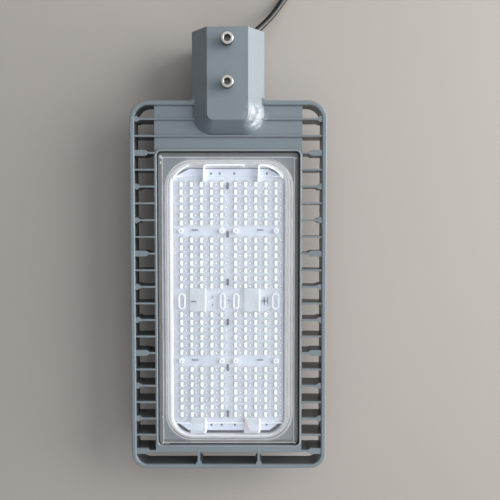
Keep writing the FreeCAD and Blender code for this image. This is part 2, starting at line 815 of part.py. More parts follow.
def terminal_screws():
    low = CEILING_Z - SLIDE_GAP - TERMINAL_H
    y = terminal_y() + BLOCK_LENGTH / 2
    screws = []
    for i in range(TERMINAL_WAYS):
        z0 = low + TERMINAL_SCREW_H
        screw = disc(TERMINAL_SCREW_R, way_x(i), y, z0, z0 + TERMINAL_SCREW_H)
        slot = box(
            way_x(i) - TERMINAL_SCREW_R,
            way_x(i) + TERMINAL_SCREW_R,
            y - TERMINAL_SLOT_W / 2,
            y + TERMINAL_SLOT_W / 2,
            z0 - 1,
            z0 + TERMINAL_SCREW_H / 2,
        )
        screws.append(screw.cut(slot))
    return screws


def gland_body():
    hexed = hexagon(GLAND_HEX, 0, GLAND_Z, BOX_HEAD_Y, BOX_HEAD_Y + GLAND_HEX_T)
    inner_end = BOX_INNER_HEAD_Y - GLAND_LOCKNUT_T - GLAND_THREAD_END
    spigot_end = BOX_HEAD_Y + GLAND_HEX_T + GLAND_NUT_L / 2
    thread = bar(GLAND_THREAD_R, 0, GLAND_Z, inner_end, spigot_end)
    passage = bar(CABLE_R + SLIDE_GAP, 0, GLAND_Z, inner_end - 1, spigot_end + 1)
    seal_seat = bar(
        GLAND_SEAL_R + FIT_GAP, 0, GLAND_Z, spigot_end - GLAND_SEAL_L / 2, spigot_end + 1
    )
    return hexed.fuse(thread).cut(passage).cut(seal_seat)


def gland_nut():
    y0 = BOX_HEAD_Y + GLAND_HEX_T
    y1 = y0 + GLAND_NUT_L
    dome = bar(GLAND_NUT_R, 0, GLAND_Z, y0, y1)
    rim = [e for e in dome.Edges if e.BoundBox.YMin > y1 - 0.01]
    dome = dome.makeFillet(GLAND_NUT_DOME_R, rim)
    grips = []
    for i in range(GLAND_NUT_GRIPS):
        angle = 2 * math.pi * i / GLAND_NUT_GRIPS
        x = GLAND_NUT_R * math.cos(angle)
        z = GLAND_Z + GLAND_NUT_R * math.sin(angle)
        grips.append(bar(GLAND_NUT_GRIP_R, x, z, y0 - 1, y0 + GLAND_NUT_GRIP_L))
    spigot_end = y0 + GLAND_NUT_L / 2
    thread = bar(GLAND_THREAD_R + FIT_GAP, 0, GLAND_Z, y0 - 1, spigot_end + FIT_GAP)
    seal_room = bar(
        GLAND_SEAL_R + FIT_GAP, 0, GLAND_Z, y0 - 1, spigot_end + GLAND_SEAL_L / 2 + FIT_GAP
    )
    passage = bar(CABLE_R + SLIDE_GAP, 0, GLAND_Z, y0 - 1, y1 + 1)
    return dome.cut(grips).cut([thread, seal_room, passage])


def gland_seal():
    middle = BOX_HEAD_Y + GLAND_HEX_T + GLAND_NUT_L / 2
    ring = bar(
        GLAND_SEAL_R, 0, GLAND_Z, middle - GLAND_SEAL_L / 2, middle + GLAND_SEAL_L / 2
    )
    return ring.cut(bar(CABLE_R, 0, GLAND_Z, BOX_INNER_FOOT_Y, MOUTH_Y))


def gland_locknut():
    y1 = BOX_INNER_HEAD_Y
    nut = hexagon(GLAND_HEX, 0, GLAND_Z, y1 - GLAND_LOCKNUT_T, y1)
    return nut.cut(bar(GLAND_THREAD_R + FIT_GAP / 2, 0, GLAND_Z, y1 - 20, y1 + 1))


def breather_vent():
    stem_end = BOX_INNER_FOOT_Y + VENT_NUT_T + VENT_STEM_END
    stem = bar(VENT_R, 0, VENT_Z, COMPARTMENT_FOOT_Y - 1, stem_end)
    cap = bar(
        VENT_CAP_R, 0, VENT_Z, COMPARTMENT_FOOT_Y - VENT_CAP_T, COMPARTMENT_FOOT_Y
    )
    rim = [e for e in cap.Edges if e.BoundBox.YMax < COMPARTMENT_FOOT_Y - VENT_CAP_T + 0.01]
    return cap.makeFillet(VENT_EDGE_R, rim).fuse(stem)


def vent_nut():
    y0 = BOX_INNER_FOOT_Y
    nut = hexagon(VENT_NUT_ACROSS, 0, VENT_Z, y0, y0 + VENT_NUT_T)
    return nut.cut(bar(VENT_R + FIT_GAP / 2, 0, VENT_Z, y0 - 1, y0 + 10))


def clamp_screw(y):
    tip_z = AXIS_Z + BORE_R + CLAMP_TIP_GAP
    head_z = SOCKET_H + CLAMP_HEAD_GAP
    shank = disc(CLAMP_R, 0, y, tip_z, head_z + 1)
    head = disc(CLAMP_HEAD_R, 0, y, head_z, head_z + CLAMP_HEAD_H)
    rim = [e for e in head.Edges if e.BoundBox.ZMin > head_z + CLAMP_HEAD_H - 0.01]
    head = head.makeFillet(CLAMP_EDGE_R, rim)
    corners = []
    for i in range(7):
        angle = math.radians(60 * i)
        r = CLAMP_HEX / math.sqrt(3)
        x = r * math.cos(angle)
        corners.append(V(x, y + r * math.sin(angle), head_z + CLAMP_HEAD_H))
    recess = Part.Face(Part.makePolygon(corners)).extrude(V(0, 0, -CLAMP_HEX_DEPTH))
    return head.fuse(shank).cut(recess)


def optical_cover():
    """Clear moulded cover: a flat flange round a slightly raised panel."""
    z0 = LEDGE_Z
    flange = window_block(LENS_COVER_EDGE_GAP, z0, z0 + LENS_COVER_T)
    margin = LENS_COVER_STEP_MARGIN
    outer = step_block(margin, z0, z0 + LENS_COVER_T + LENS_COVER_RISE)
    inner = step_block(margin + LENS_COVER_T, z0 - 1, z0 + LENS_COVER_RISE)
    return flange.fuse(outer).cut(inner).removeSplitter()


def step_block(margin, z0, z1):
    r = LENS_COVER_STEP_R - (margin - LENS_COVER_STEP_MARGIN)
    shift = WELL_HEAD_MARGIN - WELL_SIDE_MARGIN
    return rounded_block(
        WINDOW_X - margin,
        WINDOW_FOOT_Y + margin + WELL_FOOT_MARGIN - WELL_SIDE_MARGIN,
        WINDOW_HEAD_Y - margin - shift,
        r,
        r,
        z0,
        z1,
    )


def sealant_bead():
    """Silicone in the groove under the edge of the clear cover."""
    outer = window_block(FIT_GAP, LEDGE_Z - GROOVE_DEPTH, LEDGE_Z)
    return outer.cut(window_block(GROOVE_W - FIT_GAP, 0, LIP_Z))


def cover_seal():
    """White silicone ring round the boards, with a sloped inner face."""
    outer = well_block(FIT_GAP, BOARD_Z, LEDGE_Z)
    low = seal_inner_outline(SEAL_SIDE_W, SEAL_END_W, BOARD_Z)
    high = seal_inner_outline(SEAL_TOP_W, SEAL_TOP_W, LEDGE_Z)
    return outer.cut(Part.makeLoft([low, high], True, True))


def seal_inner_outline(side, end, z):
    r = WELL_R - end
    return rounded_outline(
        WELL_X - FIT_GAP - side,
        WELL_FOOT_Y + FIT_GAP + end,
        WELL_HEAD_Y - FIT_GAP - end,
        r,
        r,
        z,
    )


def led_board(foot_y, outer_end):
    """Aluminium board with two corners cut off at its outer end."""
    head_y = foot_y + BOARD_LENGTH
    chamfer = BOARD_CHAMFER
    base_y, tip_y = (foot_y, head_y) if outer_end > 0 else (head_y, foot_y)
    points = [
        V(-BOARD_X, base_y, BOARD_Z),
        V(BOARD_X, base_y, BOARD_Z),
        V(BOARD_X, tip_y - outer_end * chamfer, BOARD_Z),
        V(BOARD_X - chamfer, tip_y, BOARD_Z),
        V(-BOARD_X + chamfer, tip_y, BOARD_Z),
        V(-BOARD_X, tip_y - outer_end * chamfer, BOARD_Z),
    ]
    board = Part.Face(Part.makePolygon(points + points[:1])).extrude(V(0, 0, BOARD_T))
    holes = [
        disc(LENS_SCREW_R + FIT_GAP, x, y, 0, LIP_Z) for x, y in lens_screw_points(foot_y)
    ]
    holes += [disc(WIRE_HOLE_R, x, y, 0, LIP_Z) for x, y in wire_points()]
    return board.cut(holes)


def led_chips(foot_y):
    half = LED_SIZE / 2
    top = BOARD_TOP_Z + LED_H
    return [
        box(x - half, x + half, y - half, y + half, BOARD_TOP_Z, top)
        for x, y in led_points(foot_y)
    ]


def dome(x, y):
    """Six-sided optic over one emitter."""
    rings = []
    for share, z in ((1.0, LENS_TOP_Z - 0.2), (DOME_TOP_SHARE, LENS_TOP_Z + DOME_H)):
        corners = []
        for i in range(7):
            angle = math.radians(60 * i)
            dx = share * DOME_X / 2 * math.cos(angle)
            dy = share * DOME_Y / 2 * math.sin(angle)
            corners.append(V(x + dx, y + dy, z))
        rings.append(Part.makePolygon(corners))
    return Part.makeLoft(rings, True, True)


def hood_spans(plate_foot, plate_head):
    inside = HOOD_INSIDE
    return [
        (plate_foot - HOOD_FOOT_REACH, plate_foot + inside),
        (plate_head - inside, plate_head + HOOD_HEAD_REACH),
    ]


def hood(x, y0, y1, shrink, z0, z1):
    half = HOOD_W / 2 - shrink
    return box(x - half, x + half, y0 + shrink, y1 - shrink, z0, z1)


def lens_plate(foot_y):
    """Clear plate with one dome per emitter and hoods over the wire pads."""
    y0 = foot_y + LENS_FROM_FOOT
    y1 = y0 + LENS_LENGTH
    half = LENS_X
    plate = rounded_block(half, y0, y1, LENS_R, LENS_R, BOARD_TOP_Z, LENS_TOP_Z)
    skirt = LENS_SKIRT_W
    room = rounded_block(
        half - skirt, y0 + skirt, y1 - skirt, LENS_R, LENS_R, BOARD_TOP_Z - 1, LENS_UNDER_Z
    )
    plate = plate.cut(room)
    posts = [
        disc(LENS_SCREW_R + LENS_SCREW_HEAD_R / 2 + LENS_POST_WALL, x, y, BOARD_TOP_Z, LENS_TOP_Z)
        for x, y in lens_screw_points(foot_y)
    ]
    spans = hood_spans(y0, y1)
    hoods = [
        hood(x, a, b, 0, LENS_UNDER_Z, BOARD_TOP_Z + HOOD_H)
        for x in HOOD_XS
        for a, b in spans
    ]
    rooms = [
        hood(x, a, b, HOOD_WALL, 0, BOARD_TOP_Z + HOOD_H - HOOD_WALL)
        for x in HOOD_XS
        for a, b in spans
    ]
    plate = fused([plate] + posts + hoods).cut(rooms)
    holes = [
        disc(LENS_SCREW_R + FIT_GAP, x, y, 0, LIP_Z) for x, y in lens_screw_points(foot_y)
    ]
    holes += [clip_slot(y, FIT_GAP) for y in clip_places(foot_y)]
    plate = plate.cut(holes)
    domes = [dome(x, y) for x, y in led_points(foot_y)]
    return plate.multiFuse(domes)


def clip_places(foot_y):
    lens_foot = foot_y + LENS_FROM_FOOT
    return [
        lens_foot + LENS_LENGTH - CLIP_FROM_HEAD,
        hole_row_y(foot_y) + CLIP_PAST_HOLES,
        lens_foot + CLIP_FROM_FOOT,
    ]


def clip_slot(y, gap):
    """Place of a key through the lens plate, with a gap all round."""
    half_w = CLIP_W / 2 + gap
    half_l = CLIP_L / 2 + gap
    top = LENS_TOP_Z + CLIP_RISE
    return box(-half_w, half_w, y - half_l, y + half_l, BOARD_TOP_Z, top)


def lens_clips():
    """Dark plastic keys between the board and the lens plate."""
    return [clip_slot(y, 0) for foot_y in MODULE_FEET_Y for y in clip_places(foot_y)]


def lens_screws():
    screws = []
    for foot_y in MODULE_FEET_Y:
        for x, y in lens_screw_points(foot_y):
            head_top = LENS_TOP_Z + LENS_SCREW_HEAD_H
            slot_low = head_top - LENS_SCREW_SLOT_DEPTH
            shank = disc(LENS_SCREW_R, x, y, BOARD_Z - LENS_SCREW_BITE, slot_low)
            head = disc(LENS_SCREW_HEAD_R, x, y, LENS_TOP_Z, head_top)
            half_w = LENS_SCREW_SLOT_W / 2
            half_l = LENS_SCREW_HEAD_R
            slot = box(x - half_l, x + half_l, y - half_w, y + half_w, slot_low, head_top)
            screws.append(shank.fuse(head.cut(slot)))
    return screws


def route_edges(points, name):
    """Straight runs joined by tangent arcs, each as large as its two runs allow."""
    edges = []
    radii = []
    start = points[0]
    for before, corner, after in zip(points, points[1:], points[2:]):
        back = (before - corner).normalize()
        ahead = (after - corner).normalize()
        turn = math.pi - back.getAngle(ahead)
        shorter = min((before - corner).Length, (after - corner).Length)
        trim = 0.45 * shorter
        radius = trim / math.tan(turn / 2)
        inward = (back + ahead).normalize()
        middle = corner + inward * (radius / math.cos(turn / 2) - radius)
        first = corner + back * trim
        last = corner + ahead * trim
        edges.append(Part.makeLine(start, first))
        edges.append(Part.Arc(first, middle, last).toShape())
        radii.append(radius)
        start = last
    edges.append(Part.makeLine(start, points[-1]))
    if radii:
        print(name, "radii", [round(r, 1) for r in radii])
    return edges


def tube(points, radius, name):
    """Round tube along a route, checked against its section times its length."""
    points = [V(*p) for p in points]
    path = Part.Wire(route_edges(points, name))
    direction = points[1] - points[0]
    circle = Part.Wire([Part.makeCircle(radius, points[0], direction)])
    solid = path.makePipeShell([circle], True, False)
    share = solid.Volume / (math.pi * radius**2 * path.Length)
    print(name, "length", round(path.Length, 1), "volume share", round(share, 4))
    return solid


def entry_direction():
    angle = math.radians(CABLE_END_DEG)
    return V(math.sin(angle), math.cos(angle), 0)


def coil_entry():
    return V(CABLE_END[0], CABLE_END[1], CABLE_R) + entry_direction() * COIL_STUB


def coil_centre():
    ahead = entry_direction()
    return coil_entry() + V(-ahead.y, ahead.x, 0) * COIL_OUTER_R


def cable_route():
    """Route of the supply cable outside the gland, ending where the coil begins."""
    return [
        (0.0, gland_exit_y(), GLAND_Z),
        (0.0, 178.5, GLAND_Z),
        (-1.6, 194.0, 29.8),
        (0.4, 209.5, 31.4),
        (6.8, 224.5, 32.6),
        (18.4, 237.4, 30.8),
        (32.2, 251.0, 22.4),
        (46.8, 267.4, 11.0),
        (60.2, 284.6, CABLE_R),
        (CABLE_END[0], CABLE_END[1], CABLE_R),
    ]


def tail_start():
    return coil_centre() + V(-TAIL_STUB, COIL_OUTER_R, 0)


def tail_route():
    start = tail_start()
    return [
        (start.x, start.y, start.z),
        (start.x - 15.0, start.y, start.z),
        (start.x - 31.0, start.y - 5.0, start.z),
        (start.x - 44.0, start.y - 15.0, start.z),
    ]


def gland_exit_y():
    return BOX_HEAD_Y + GLAND_HEX_T + GLAND_NUT_L


def supply_cable():
    return tube(cable_route(), CABLE_R, "supply_cable")


def supply_cable_tail():
    return tube(tail_route(), CABLE_R, "supply_cable_tail")


def cable_coil():
    """Closed ring in the outer shape of the wound turns, with a stub at each end."""
    outer = COIL_OUTER_R + CABLE_R
    inner = COIL_OUTER_R - (COIL_TURNS_WIDE - 1) * CABLE_D - CABLE_R
    x, y = coil_centre().x, coil_centre().y
    ring = disc(outer, x, y, 0, COIL_H).cut(disc(inner, x, y, -1, COIL_H + 1))
    shoulders = [e for e in ring.Edges if e.BoundBox.ZLength < 0.01]
    ring = ring.makeFillet(COIL_EDGE_R, shoulders)
    entry = coil_entry()
    stub_in = Part.makeCylinder(CABLE_R, COIL_STUB, entry, entry_direction() * -1)
    start = tail_start()
    stub_out = Part.makeCylinder(CABLE_R, TAIL_STUB, start, V(1, 0, 0))
    return ring.fuse(stub_in).fuse(stub_out)


def core_places():
    """Side and height of the live, neutral and earth cores within the sheath."""
    return ((-CORE_SPREAD, -CORE_DROP), (CORE_SPREAD, -CORE_DROP), (0.0, CORE_LIFT))


def tail_cores():
    """Three bare cores that fan out of the cable's end."""
    end = V(*tail_route()[-1])
    before = V(*tail_route()[-2])
    ahead = (end - before).normalize()
    across = V(-ahead.y, ahead.x, 0)
    names = ("tail_core_brown", "tail_core_blue", "tail_core_earth")
    fans = ((-2.4, -8.5), (2.0, 7.0), (0.7, -1.6))
    cores = {}
    for name, (side, lift), (fan_middle, fan_end) in zip(names, core_places(), fans):
        start = end + across * side + V(0, 0, lift)
        middle = start + ahead * 17.0 + across * fan_middle
        tip = start + ahead * 28.0 + across * fan_end
        route = [start, start + ahead * 8.0, middle, tip]
        cores[name] = tube([tuple(p) for p in route], CORE_R, name)
    return cores


def inner_cable():
    """Sheath inside the gland, up to where its cores part."""
    y0 = BOX_INNER_HEAD_Y - GLAND_LOCKNUT_T - SHEATH_INSIDE
    return bar(CABLE_R, 0, GLAND_Z, y0, gland_exit_y())


def mains_cores():
    """Live, neutral and earth cores from the sheath to the terminal block."""
    y0 = BOX_INNER_HEAD_Y - GLAND_LOCKNUT_T - SHEATH_INSIDE
    y1 = terminal_y() + BLOCK_LENGTH
    z1 = terminal_wire_z()
    middle_y = (y0 + y1) / 2
    sags = (6.0, 6.0, 1.0)
    ways = (0, 2, 1)
    cores = []
    for (x, lift), sag, way in zip(core_places(), sags, ways):
        z0 = GLAND_Z + lift
        route = [
            (x, y0, z0),
            (x, y0 - 7.0, z0),
            (way_x(way), middle_y, z1 - sag),
            (way_x(way), y1 + 6.0, z1),
            (way_x(way), y1, z1),
        ]
        cores.append(tube(route, CORE_R, "mains_core"))
    return cores


def dc_lead(side):
    """Lead from the driver's foot end, beside the driver and up to its solder pad."""
    x, y = wire_points()[side]
    start_x = DRIVER_X + (-12.0, 12.0)[side]
    z = CEILING_Z - DRIVER_H / 2
    foot = DRIVER_FOOT_Y
    bend = foot - 7.0
    pad_y = MODULE_FEET_Y[0] - HOOD_FOOT_REACH / 4
    top = BOARD_TOP_Z + LEAD_R
    route = [
        (start_x, foot, z),
        (start_x, bend, z),
        (x, bend + 1.5, z - 2),
        (x, foot + 12.0, z - 3),
        (x, y - 6.0, z - 2),
        (x, y + 0.3, z + 2),
        (x, y + 0.3, top + 0.7),
        (x + (2.0, -2.0)[side], pad_y, top),
    ]
    return tube(route, LEAD_R, ("dc_lead_black", "dc_lead_red")[side])


def series_link():
    """Short red link between two pads under the outer hood of the lower plate."""
    x = HOOD_XS[1]
    y = MODULE_FEET_Y[1] + LENS_FROM_FOOT - 3.0
    z = BOARD_TOP_Z + LINK_R
    route = [(x - 6, y + 1.5, z), (x - 2, y - 0.6, z), (x + 2, y - 0.6, z), (x + 6, y + 1.5, z)]
    return tube(route, LINK_R, "series_link")


def driver_input_leads():
    """Two leads from the terminal block into the driver's head end."""
    leads = []
    for i, x in enumerate((DRIVER_X + 5.0, DRIVER_X + 13.0)):
        z = CEILING_Z - DRIVER_H / 2
        target = way_x(i)
        y1 = terminal_y()
        route = [
            (x, DRIVER_HEAD_Y, z),
            (x, DRIVER_HEAD_Y + 6, z),
            (target, y1 - 8, z),
            (target, y1 - 4, terminal_wire_z()),
            (target, y1, terminal_wire_z()),
        ]
        leads.append(tube(route, LEAD_R, "driver_input_lead"))
    return leads


def surge_leads():
    """Two leads that bridge the surge protector across the supply."""
    leads = []
    x0 = SURGE_X + SURGE_W / 2
    x1 = TERMINAL_X - TERMINAL_W / 2
    for i in range(2):
        y = SURGE_FOOT_Y + 5.0 + 9.0 * i
        z = CEILING_Z - TERMINAL_H + 3
        sag = z - 4
        route = [(x0, y, z), (x0 + 5, y, z), ((x0 + x1) / 2, y, sag), (x1 - 5, y, z), (x1, y, z)]
        leads.append(tube(route, LEAD_R, "surge_lead"))
    return leads


def all_parts():
    parts = {
        "housing": housing(),
        "driver_cover": driver_cover(),
        "driver_cover_gasket": driver_cover_gasket(),
        "driver_cover_screws": driver_cover_screws(),
        "led_driver": led_driver(),
        "driver_screws": ear_screws(driver_ear_points()),
        "surge_protector": surge_protector(),
        "surge_protector_screws": ear_screws(surge_ear_points()),
        "terminal_block": terminal_block(),
        "terminal_block_screws": ear_screws(terminal_ear_points()),
        "terminal_screws": terminal_screws(),
        "gland_body": gland_body(),
        "gland_nut": gland_nut(),
        "gland_seal": gland_seal(),
        "gland_locknut": gland_locknut(),
        "breather_vent": breather_vent(),
        "breather_vent_nut": vent_nut(),
        "clamp_screw_outer": clamp_screw(clamp_places()[0]),
        "clamp_screw_inner": clamp_screw(clamp_places()[1]),
        "optical_cover": optical_cover(),
        "sealant_bead": sealant_bead(),
        "cover_seal": cover_seal(),
        "led_board_upper": led_board(MODULE_FEET_Y[0], 1),
        "led_board_lower": led_board(MODULE_FEET_Y[1], -1),
        "led_chips_upper": led_chips(MODULE_FEET_Y[0]),
        "led_chips_lower": led_chips(MODULE_FEET_Y[1]),
        "lens_plate_upper": lens_plate(MODULE_FEET_Y[0]),
        "lens_plate_lower": lens_plate(MODULE_FEET_Y[1]),
        "lens_screws": lens_screws(),
        "lens_clips": lens_clips(),
        "inner_cable": inner_cable(),
        "mains_cores": mains_cores(),
        "driver_input_leads": driver_input_leads(),
        "surge_leads": surge_leads(),
        "dc_lead_black": dc_lead(0),
        "dc_lead_red": dc_lead(1),
        "series_link": series_link(),
        "supply_cable": supply_cable(),
        "cable_coil": cable_coil(),
        "supply_cable_tail": supply_cable_tail(),
    }
    parts.update(tail_cores())
    return parts


def save(name, shape):
    if isinstance(shape, list):
        shape = Part.makeCompound(shape)
    shape.exportStep(f"parts/{name}.step")


for part_name, part_shape in all_parts().items():
    save(part_name, part_shape)
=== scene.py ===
from math import cos, hypot, pi, radians, sin

import bmesh
import bpy
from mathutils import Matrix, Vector


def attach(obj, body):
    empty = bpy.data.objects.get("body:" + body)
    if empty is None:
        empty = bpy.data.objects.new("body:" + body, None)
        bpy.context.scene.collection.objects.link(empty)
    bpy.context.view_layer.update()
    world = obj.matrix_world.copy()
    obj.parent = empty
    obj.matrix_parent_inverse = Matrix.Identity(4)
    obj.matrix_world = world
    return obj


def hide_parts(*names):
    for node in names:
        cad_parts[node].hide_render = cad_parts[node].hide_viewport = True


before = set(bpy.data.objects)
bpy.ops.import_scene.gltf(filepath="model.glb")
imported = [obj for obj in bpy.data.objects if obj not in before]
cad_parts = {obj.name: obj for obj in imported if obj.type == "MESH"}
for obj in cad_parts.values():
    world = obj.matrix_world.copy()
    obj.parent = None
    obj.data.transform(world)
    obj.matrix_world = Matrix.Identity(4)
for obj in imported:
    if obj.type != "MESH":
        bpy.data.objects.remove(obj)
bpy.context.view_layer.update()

MM = 0.001

# Camera over the lit face
SENSOR_W, LENS = 36.0, 45.36
CAMERA_PLACE = (0.0232, 0.03285, 0.7342)
CAMERA_TILT_DEG = -2.52

camera_data = bpy.data.cameras.new("camera")
camera_data.sensor_width = SENSOR_W
camera_data.lens = LENS
camera_data.clip_start = 0.01
camera = bpy.data.objects.new("camera", camera_data)
camera.location = CAMERA_PLACE
camera.rotation_euler = (radians(CAMERA_TILT_DEG), 0.0, 0.0)
bpy.context.collection.objects.link(camera)
bpy.context.scene.camera = camera


# Materials
NOISE_LOW, NOISE_HIGH = 0.3, 0.7
ROUNDING_SAMPLES = 6


class Tree:
    """Node tree with short calls for the nodes that the materials share."""

    def __init__(self, node_tree):
        self.nodes, self.links = node_tree.nodes, node_tree.links

    def feed(self, socket, value):
        """Link another node's output to a socket, or set its value."""
        if isinstance(value, bpy.types.NodeSocket):
            self.links.new(value, socket)
        else:
            socket.default_value = value

    def fill(self, node, inputs):
        for key, value in inputs.items():
            self.feed(node.inputs[key], value)
        return node

    def add(self, kind, inputs=None):
        return self.fill(self.nodes.new(kind), inputs or {})

    def place(self):
        return self.add("ShaderNodeTexCoord").outputs["Object"]

    def noise(self, scale, detail=4.0, stretch=(1.0, 1.0, 1.0)):
        mapping = self.add("ShaderNodeMapping", {"Vector": self.place(), "Scale": stretch})
        inputs = {"Vector": mapping.outputs[0], "Scale": scale, "Detail": detail}
        return self.add("ShaderNodeTexNoise", inputs).outputs["Fac"]

    def spread(self, source, low, high):
        """Noise as values from low to high."""
        inputs = {
            "Value": source, "From Min": NOISE_LOW, "From Max": NOISE_HIGH,
            "To Min": low, "To Max": high,
        }
        return self.add("ShaderNodeMapRange", inputs).outputs[0]

    def tinted(self, source, dark, light):
        """Noise as colours from dark to light."""
        ramp = self.add("ShaderNodeValToRGB", {"Fac": source})
        first, last = ramp.color_ramp.elements
        first.position, last.position = NOISE_LOW, NOISE_HIGH
        first.color, last.color = (*dark, 1.0), (*light, 1.0)
        return ramp.outputs["Color"]

    def ramp(self, source, start, end, kind="LINEAR"):
        """Share that goes from 0 at start to 1 at end."""
        node = self.nodes.new("ShaderNodeMapRange")
        node.interpolation_type = kind
        return self.fill(node, {"Value": source, "From Min": start, "From Max": end}).outputs[0]

    def calc(self, operation, *values, clamp=False):
        node = self.nodes.new("ShaderNodeMath")
        node.operation, node.use_clamp = operation, clamp
        return self.fill(node, dict(enumerate(values))).outputs[0]

    def vector(self, operation, inputs, output="Vector"):
        node = self.nodes.new("ShaderNodeVectorMath")
        node.operation = operation
        return self.fill(node, inputs).outputs[output]

    def mix(self, share, first, second):
        """Mix of two shaders."""
        return self.add("ShaderNodeMixShader", {0: share, 1: first, 2: second}).outputs[0]

    def see_through(self, colour):
        return self.add("ShaderNodeBsdfTransparent", {"Color": (*colour, 1.0)}).outputs[0]

    def facing(self, blend):
        return self.add("ShaderNodeLayerWeight", {"Blend": blend}).outputs["Facing"]

    def bump(self, height, strength, depth):
        inputs = {"Height": height, "Strength": strength, "Distance": depth}
        return self.add("ShaderNodeBump", inputs)

    def recolour(self, shader, share, colour):
        """Turn the shader's base colour towards another by a share."""
        base = shader.inputs["Base Color"]
        mix = self.nodes.new("ShaderNodeMix")
        mix.data_type = "RGBA"
        self.fill(mix, {"Factor": share, "A": source_of(base), "B": (*colour, 1.0)})
        self.feed(base, mix.outputs["Result"])


def source_of(socket):
    return socket.links[0].from_socket


def scaled(colour, factor):
    return tuple(min(1.0, c * factor) for c in colour)


def new_material(name):
    material = bpy.data.materials.new(name)
    material.use_nodes = True
    material.node_tree.nodes.clear()
    tree = Tree(material.node_tree)
    shader = tree.add("ShaderNodeBsdfPrincipled")
    output = tree.add("ShaderNodeOutputMaterial", {"Surface": shader.outputs[0]})
    return material, tree, shader, output


def surface(
    name,
    colour,
    rough=0.5,
    rough_spread=0.06,
    grain=900.0,
    bump=0.1,
    bump_depth=0.0001,
    variation=0.06,
    patches=25.0,
    metallic=0.0,
    stretch=(1.0, 1.0, 1.0),
    rounding=0.0,
    coat=0.0,
    emission=0.0,
):
    """Moulded, cast or brushed surface with its own grain and slight colour patches."""
    material, tree, shader, _ = new_material(name)
    patch = tree.noise(patches, 5.0)
    colours = tree.tinted(patch, scaled(colour, 1.0 - variation), scaled(colour, 1.0 + variation))
    raised = tree.bump(tree.noise(grain, 3.0, stretch), bump, bump_depth)
    if rounding:
        edge = tree.add("ShaderNodeBevel", {"Radius": rounding})
        edge.samples = ROUNDING_SAMPLES
        tree.feed(raised.inputs["Normal"], edge.outputs[0])
    values = {
        "Base Color": colours,
        "Metallic": metallic,
        "Roughness": tree.spread(patch, rough - rough_spread, rough + rough_spread),
        "Coat Weight": coat,
        "Normal": raised.outputs[0],
    }
    if emission:
        values["Emission Color"] = colours
        values["Emission Strength"] = emission
    for key, value in values.items():
        tree.feed(shader.inputs[key], value)
    return material


PLASTIC_PATCHES = 60.0
PLASTIC_TINTS = (0.97, 1.03)
PLASTIC_HAZES = (0.93, 1.07)
RIPPLE_SCALE, RIPPLE_STRENGTH, RIPPLE_DEPTH = 180.0, 0.04, 0.0002
GLANCE_BLEND, GLANCE_POWER, GLANCE_MIRROR = 0.5, 5.0, 0.6
SHADOW_TINT = 0.99


def clear_plastic(name, tint, haze, haze_colour, gloss_rough, edge, rim, mirror_base=0.02):
    """Clear moulding: see-through face on, with a haze, shiny and darker at glancing edges."""
    material, tree, shader, output = new_material(name)
    patch = tree.noise(PLASTIC_PATCHES, 3.0)
    colours = tree.tinted(patch, *(scaled(haze_colour, factor) for factor in PLASTIC_TINTS))
    tree.feed(shader.inputs["Base Color"], colours)
    look = tree.mix(tree.facing(edge), tree.see_through(tint), tree.see_through(rim))
    hazes = tree.spread(patch, *(haze * factor for factor in PLASTIC_HAZES))
    look = tree.mix(hazes, look, shader.outputs[0])
    ripple = tree.bump(tree.noise(RIPPLE_SCALE, 2.0), RIPPLE_STRENGTH, RIPPLE_DEPTH)
    inputs = {"Roughness": gloss_rough, "Normal": ripple.outputs[0]}
    gloss = tree.add("ShaderNodeBsdfGlossy", inputs)
    glance = tree.calc("POWER", tree.facing(GLANCE_BLEND), GLANCE_POWER)
    mirror = tree.calc("MULTIPLY_ADD", glance, GLANCE_MIRROR, mirror_base)
    look = tree.mix(mirror, look, gloss.outputs[0])
    in_shadow = tree.add("ShaderNodeLightPath").outputs["Is Shadow Ray"]
    look = tree.mix(in_shadow, look, tree.see_through(scaled(tint, SHADOW_TINT)))
    tree.feed(output.inputs["Surface"], look)
    return material


STRIPE_WAVER, STRIPE_EDGE = 0.6, 0.55
STRIPE_ROUGH, STRIPE_PATCHES = (0.34, 0.46), 90.0


def striped(name, first, second, band):
    """Insulation with a stripe of a second colour wound round it."""
    material, tree, shader, _ = new_material(name)
    inputs = {"Vector": tree.place(), "Scale": band, "Distortion": STRIPE_WAVER}
    wave = tree.add("ShaderNodeTexWave", inputs)
    ramp = tree.add("ShaderNodeValToRGB", {"Fac": wave.outputs["Fac"]})
    ramp.color_ramp.interpolation = "CONSTANT"
    lower, upper = ramp.color_ramp.elements
    lower.color, upper.color = (*first, 1.0), (*second, 1.0)
    upper.position = STRIPE_EDGE
    tree.feed(shader.inputs["Base Color"], ramp.outputs["Color"])
    rough = tree.spread(tree.noise(STRIPE_PATCHES), *STRIPE_ROUGH)
    tree.feed(shader.inputs["Roughness"], rough)
    return material


def insulation(name, colour, rough=0.4):
    return surface(name, colour, rough=rough, grain=600.0)


# Painted highlight: white surface that glows, for the bright edges and glints of the clear
# mouldings.
def painted_highlight_edge(name, colour, emission):
    return surface(
        name, colour, rough=0.35, rough_spread=0.05, grain=600.0, bump=0.05, variation=0.02,
        emission=emission,
    )


def coated(name, colour, **finish):
    """Powder coat on the casting."""
    return surface(
        name, colour, rough_spread=0.05, grain=1500.0, patches=18.0, coat=0.12, **finish
    )


# Crumpled, glossy patch of coating on the right facet of the socket's end, with paler specks
# painted as glints, in metres
WRINKLE_CENTRE = (0.030, 0.143, 0.069)
WRINKLE_REACH = 0.019
WRINKLE_CORE = WRINKLE_REACH * 0.35
FOLD_SCALE = 170.0
FOLD_LEAN = 1.1
FOLD_POLISH = -0.16
FOLD_GLINT_SCALE = 260.0
FOLD_GLINT_COLOUR = (0.56, 0.59, 0.64)
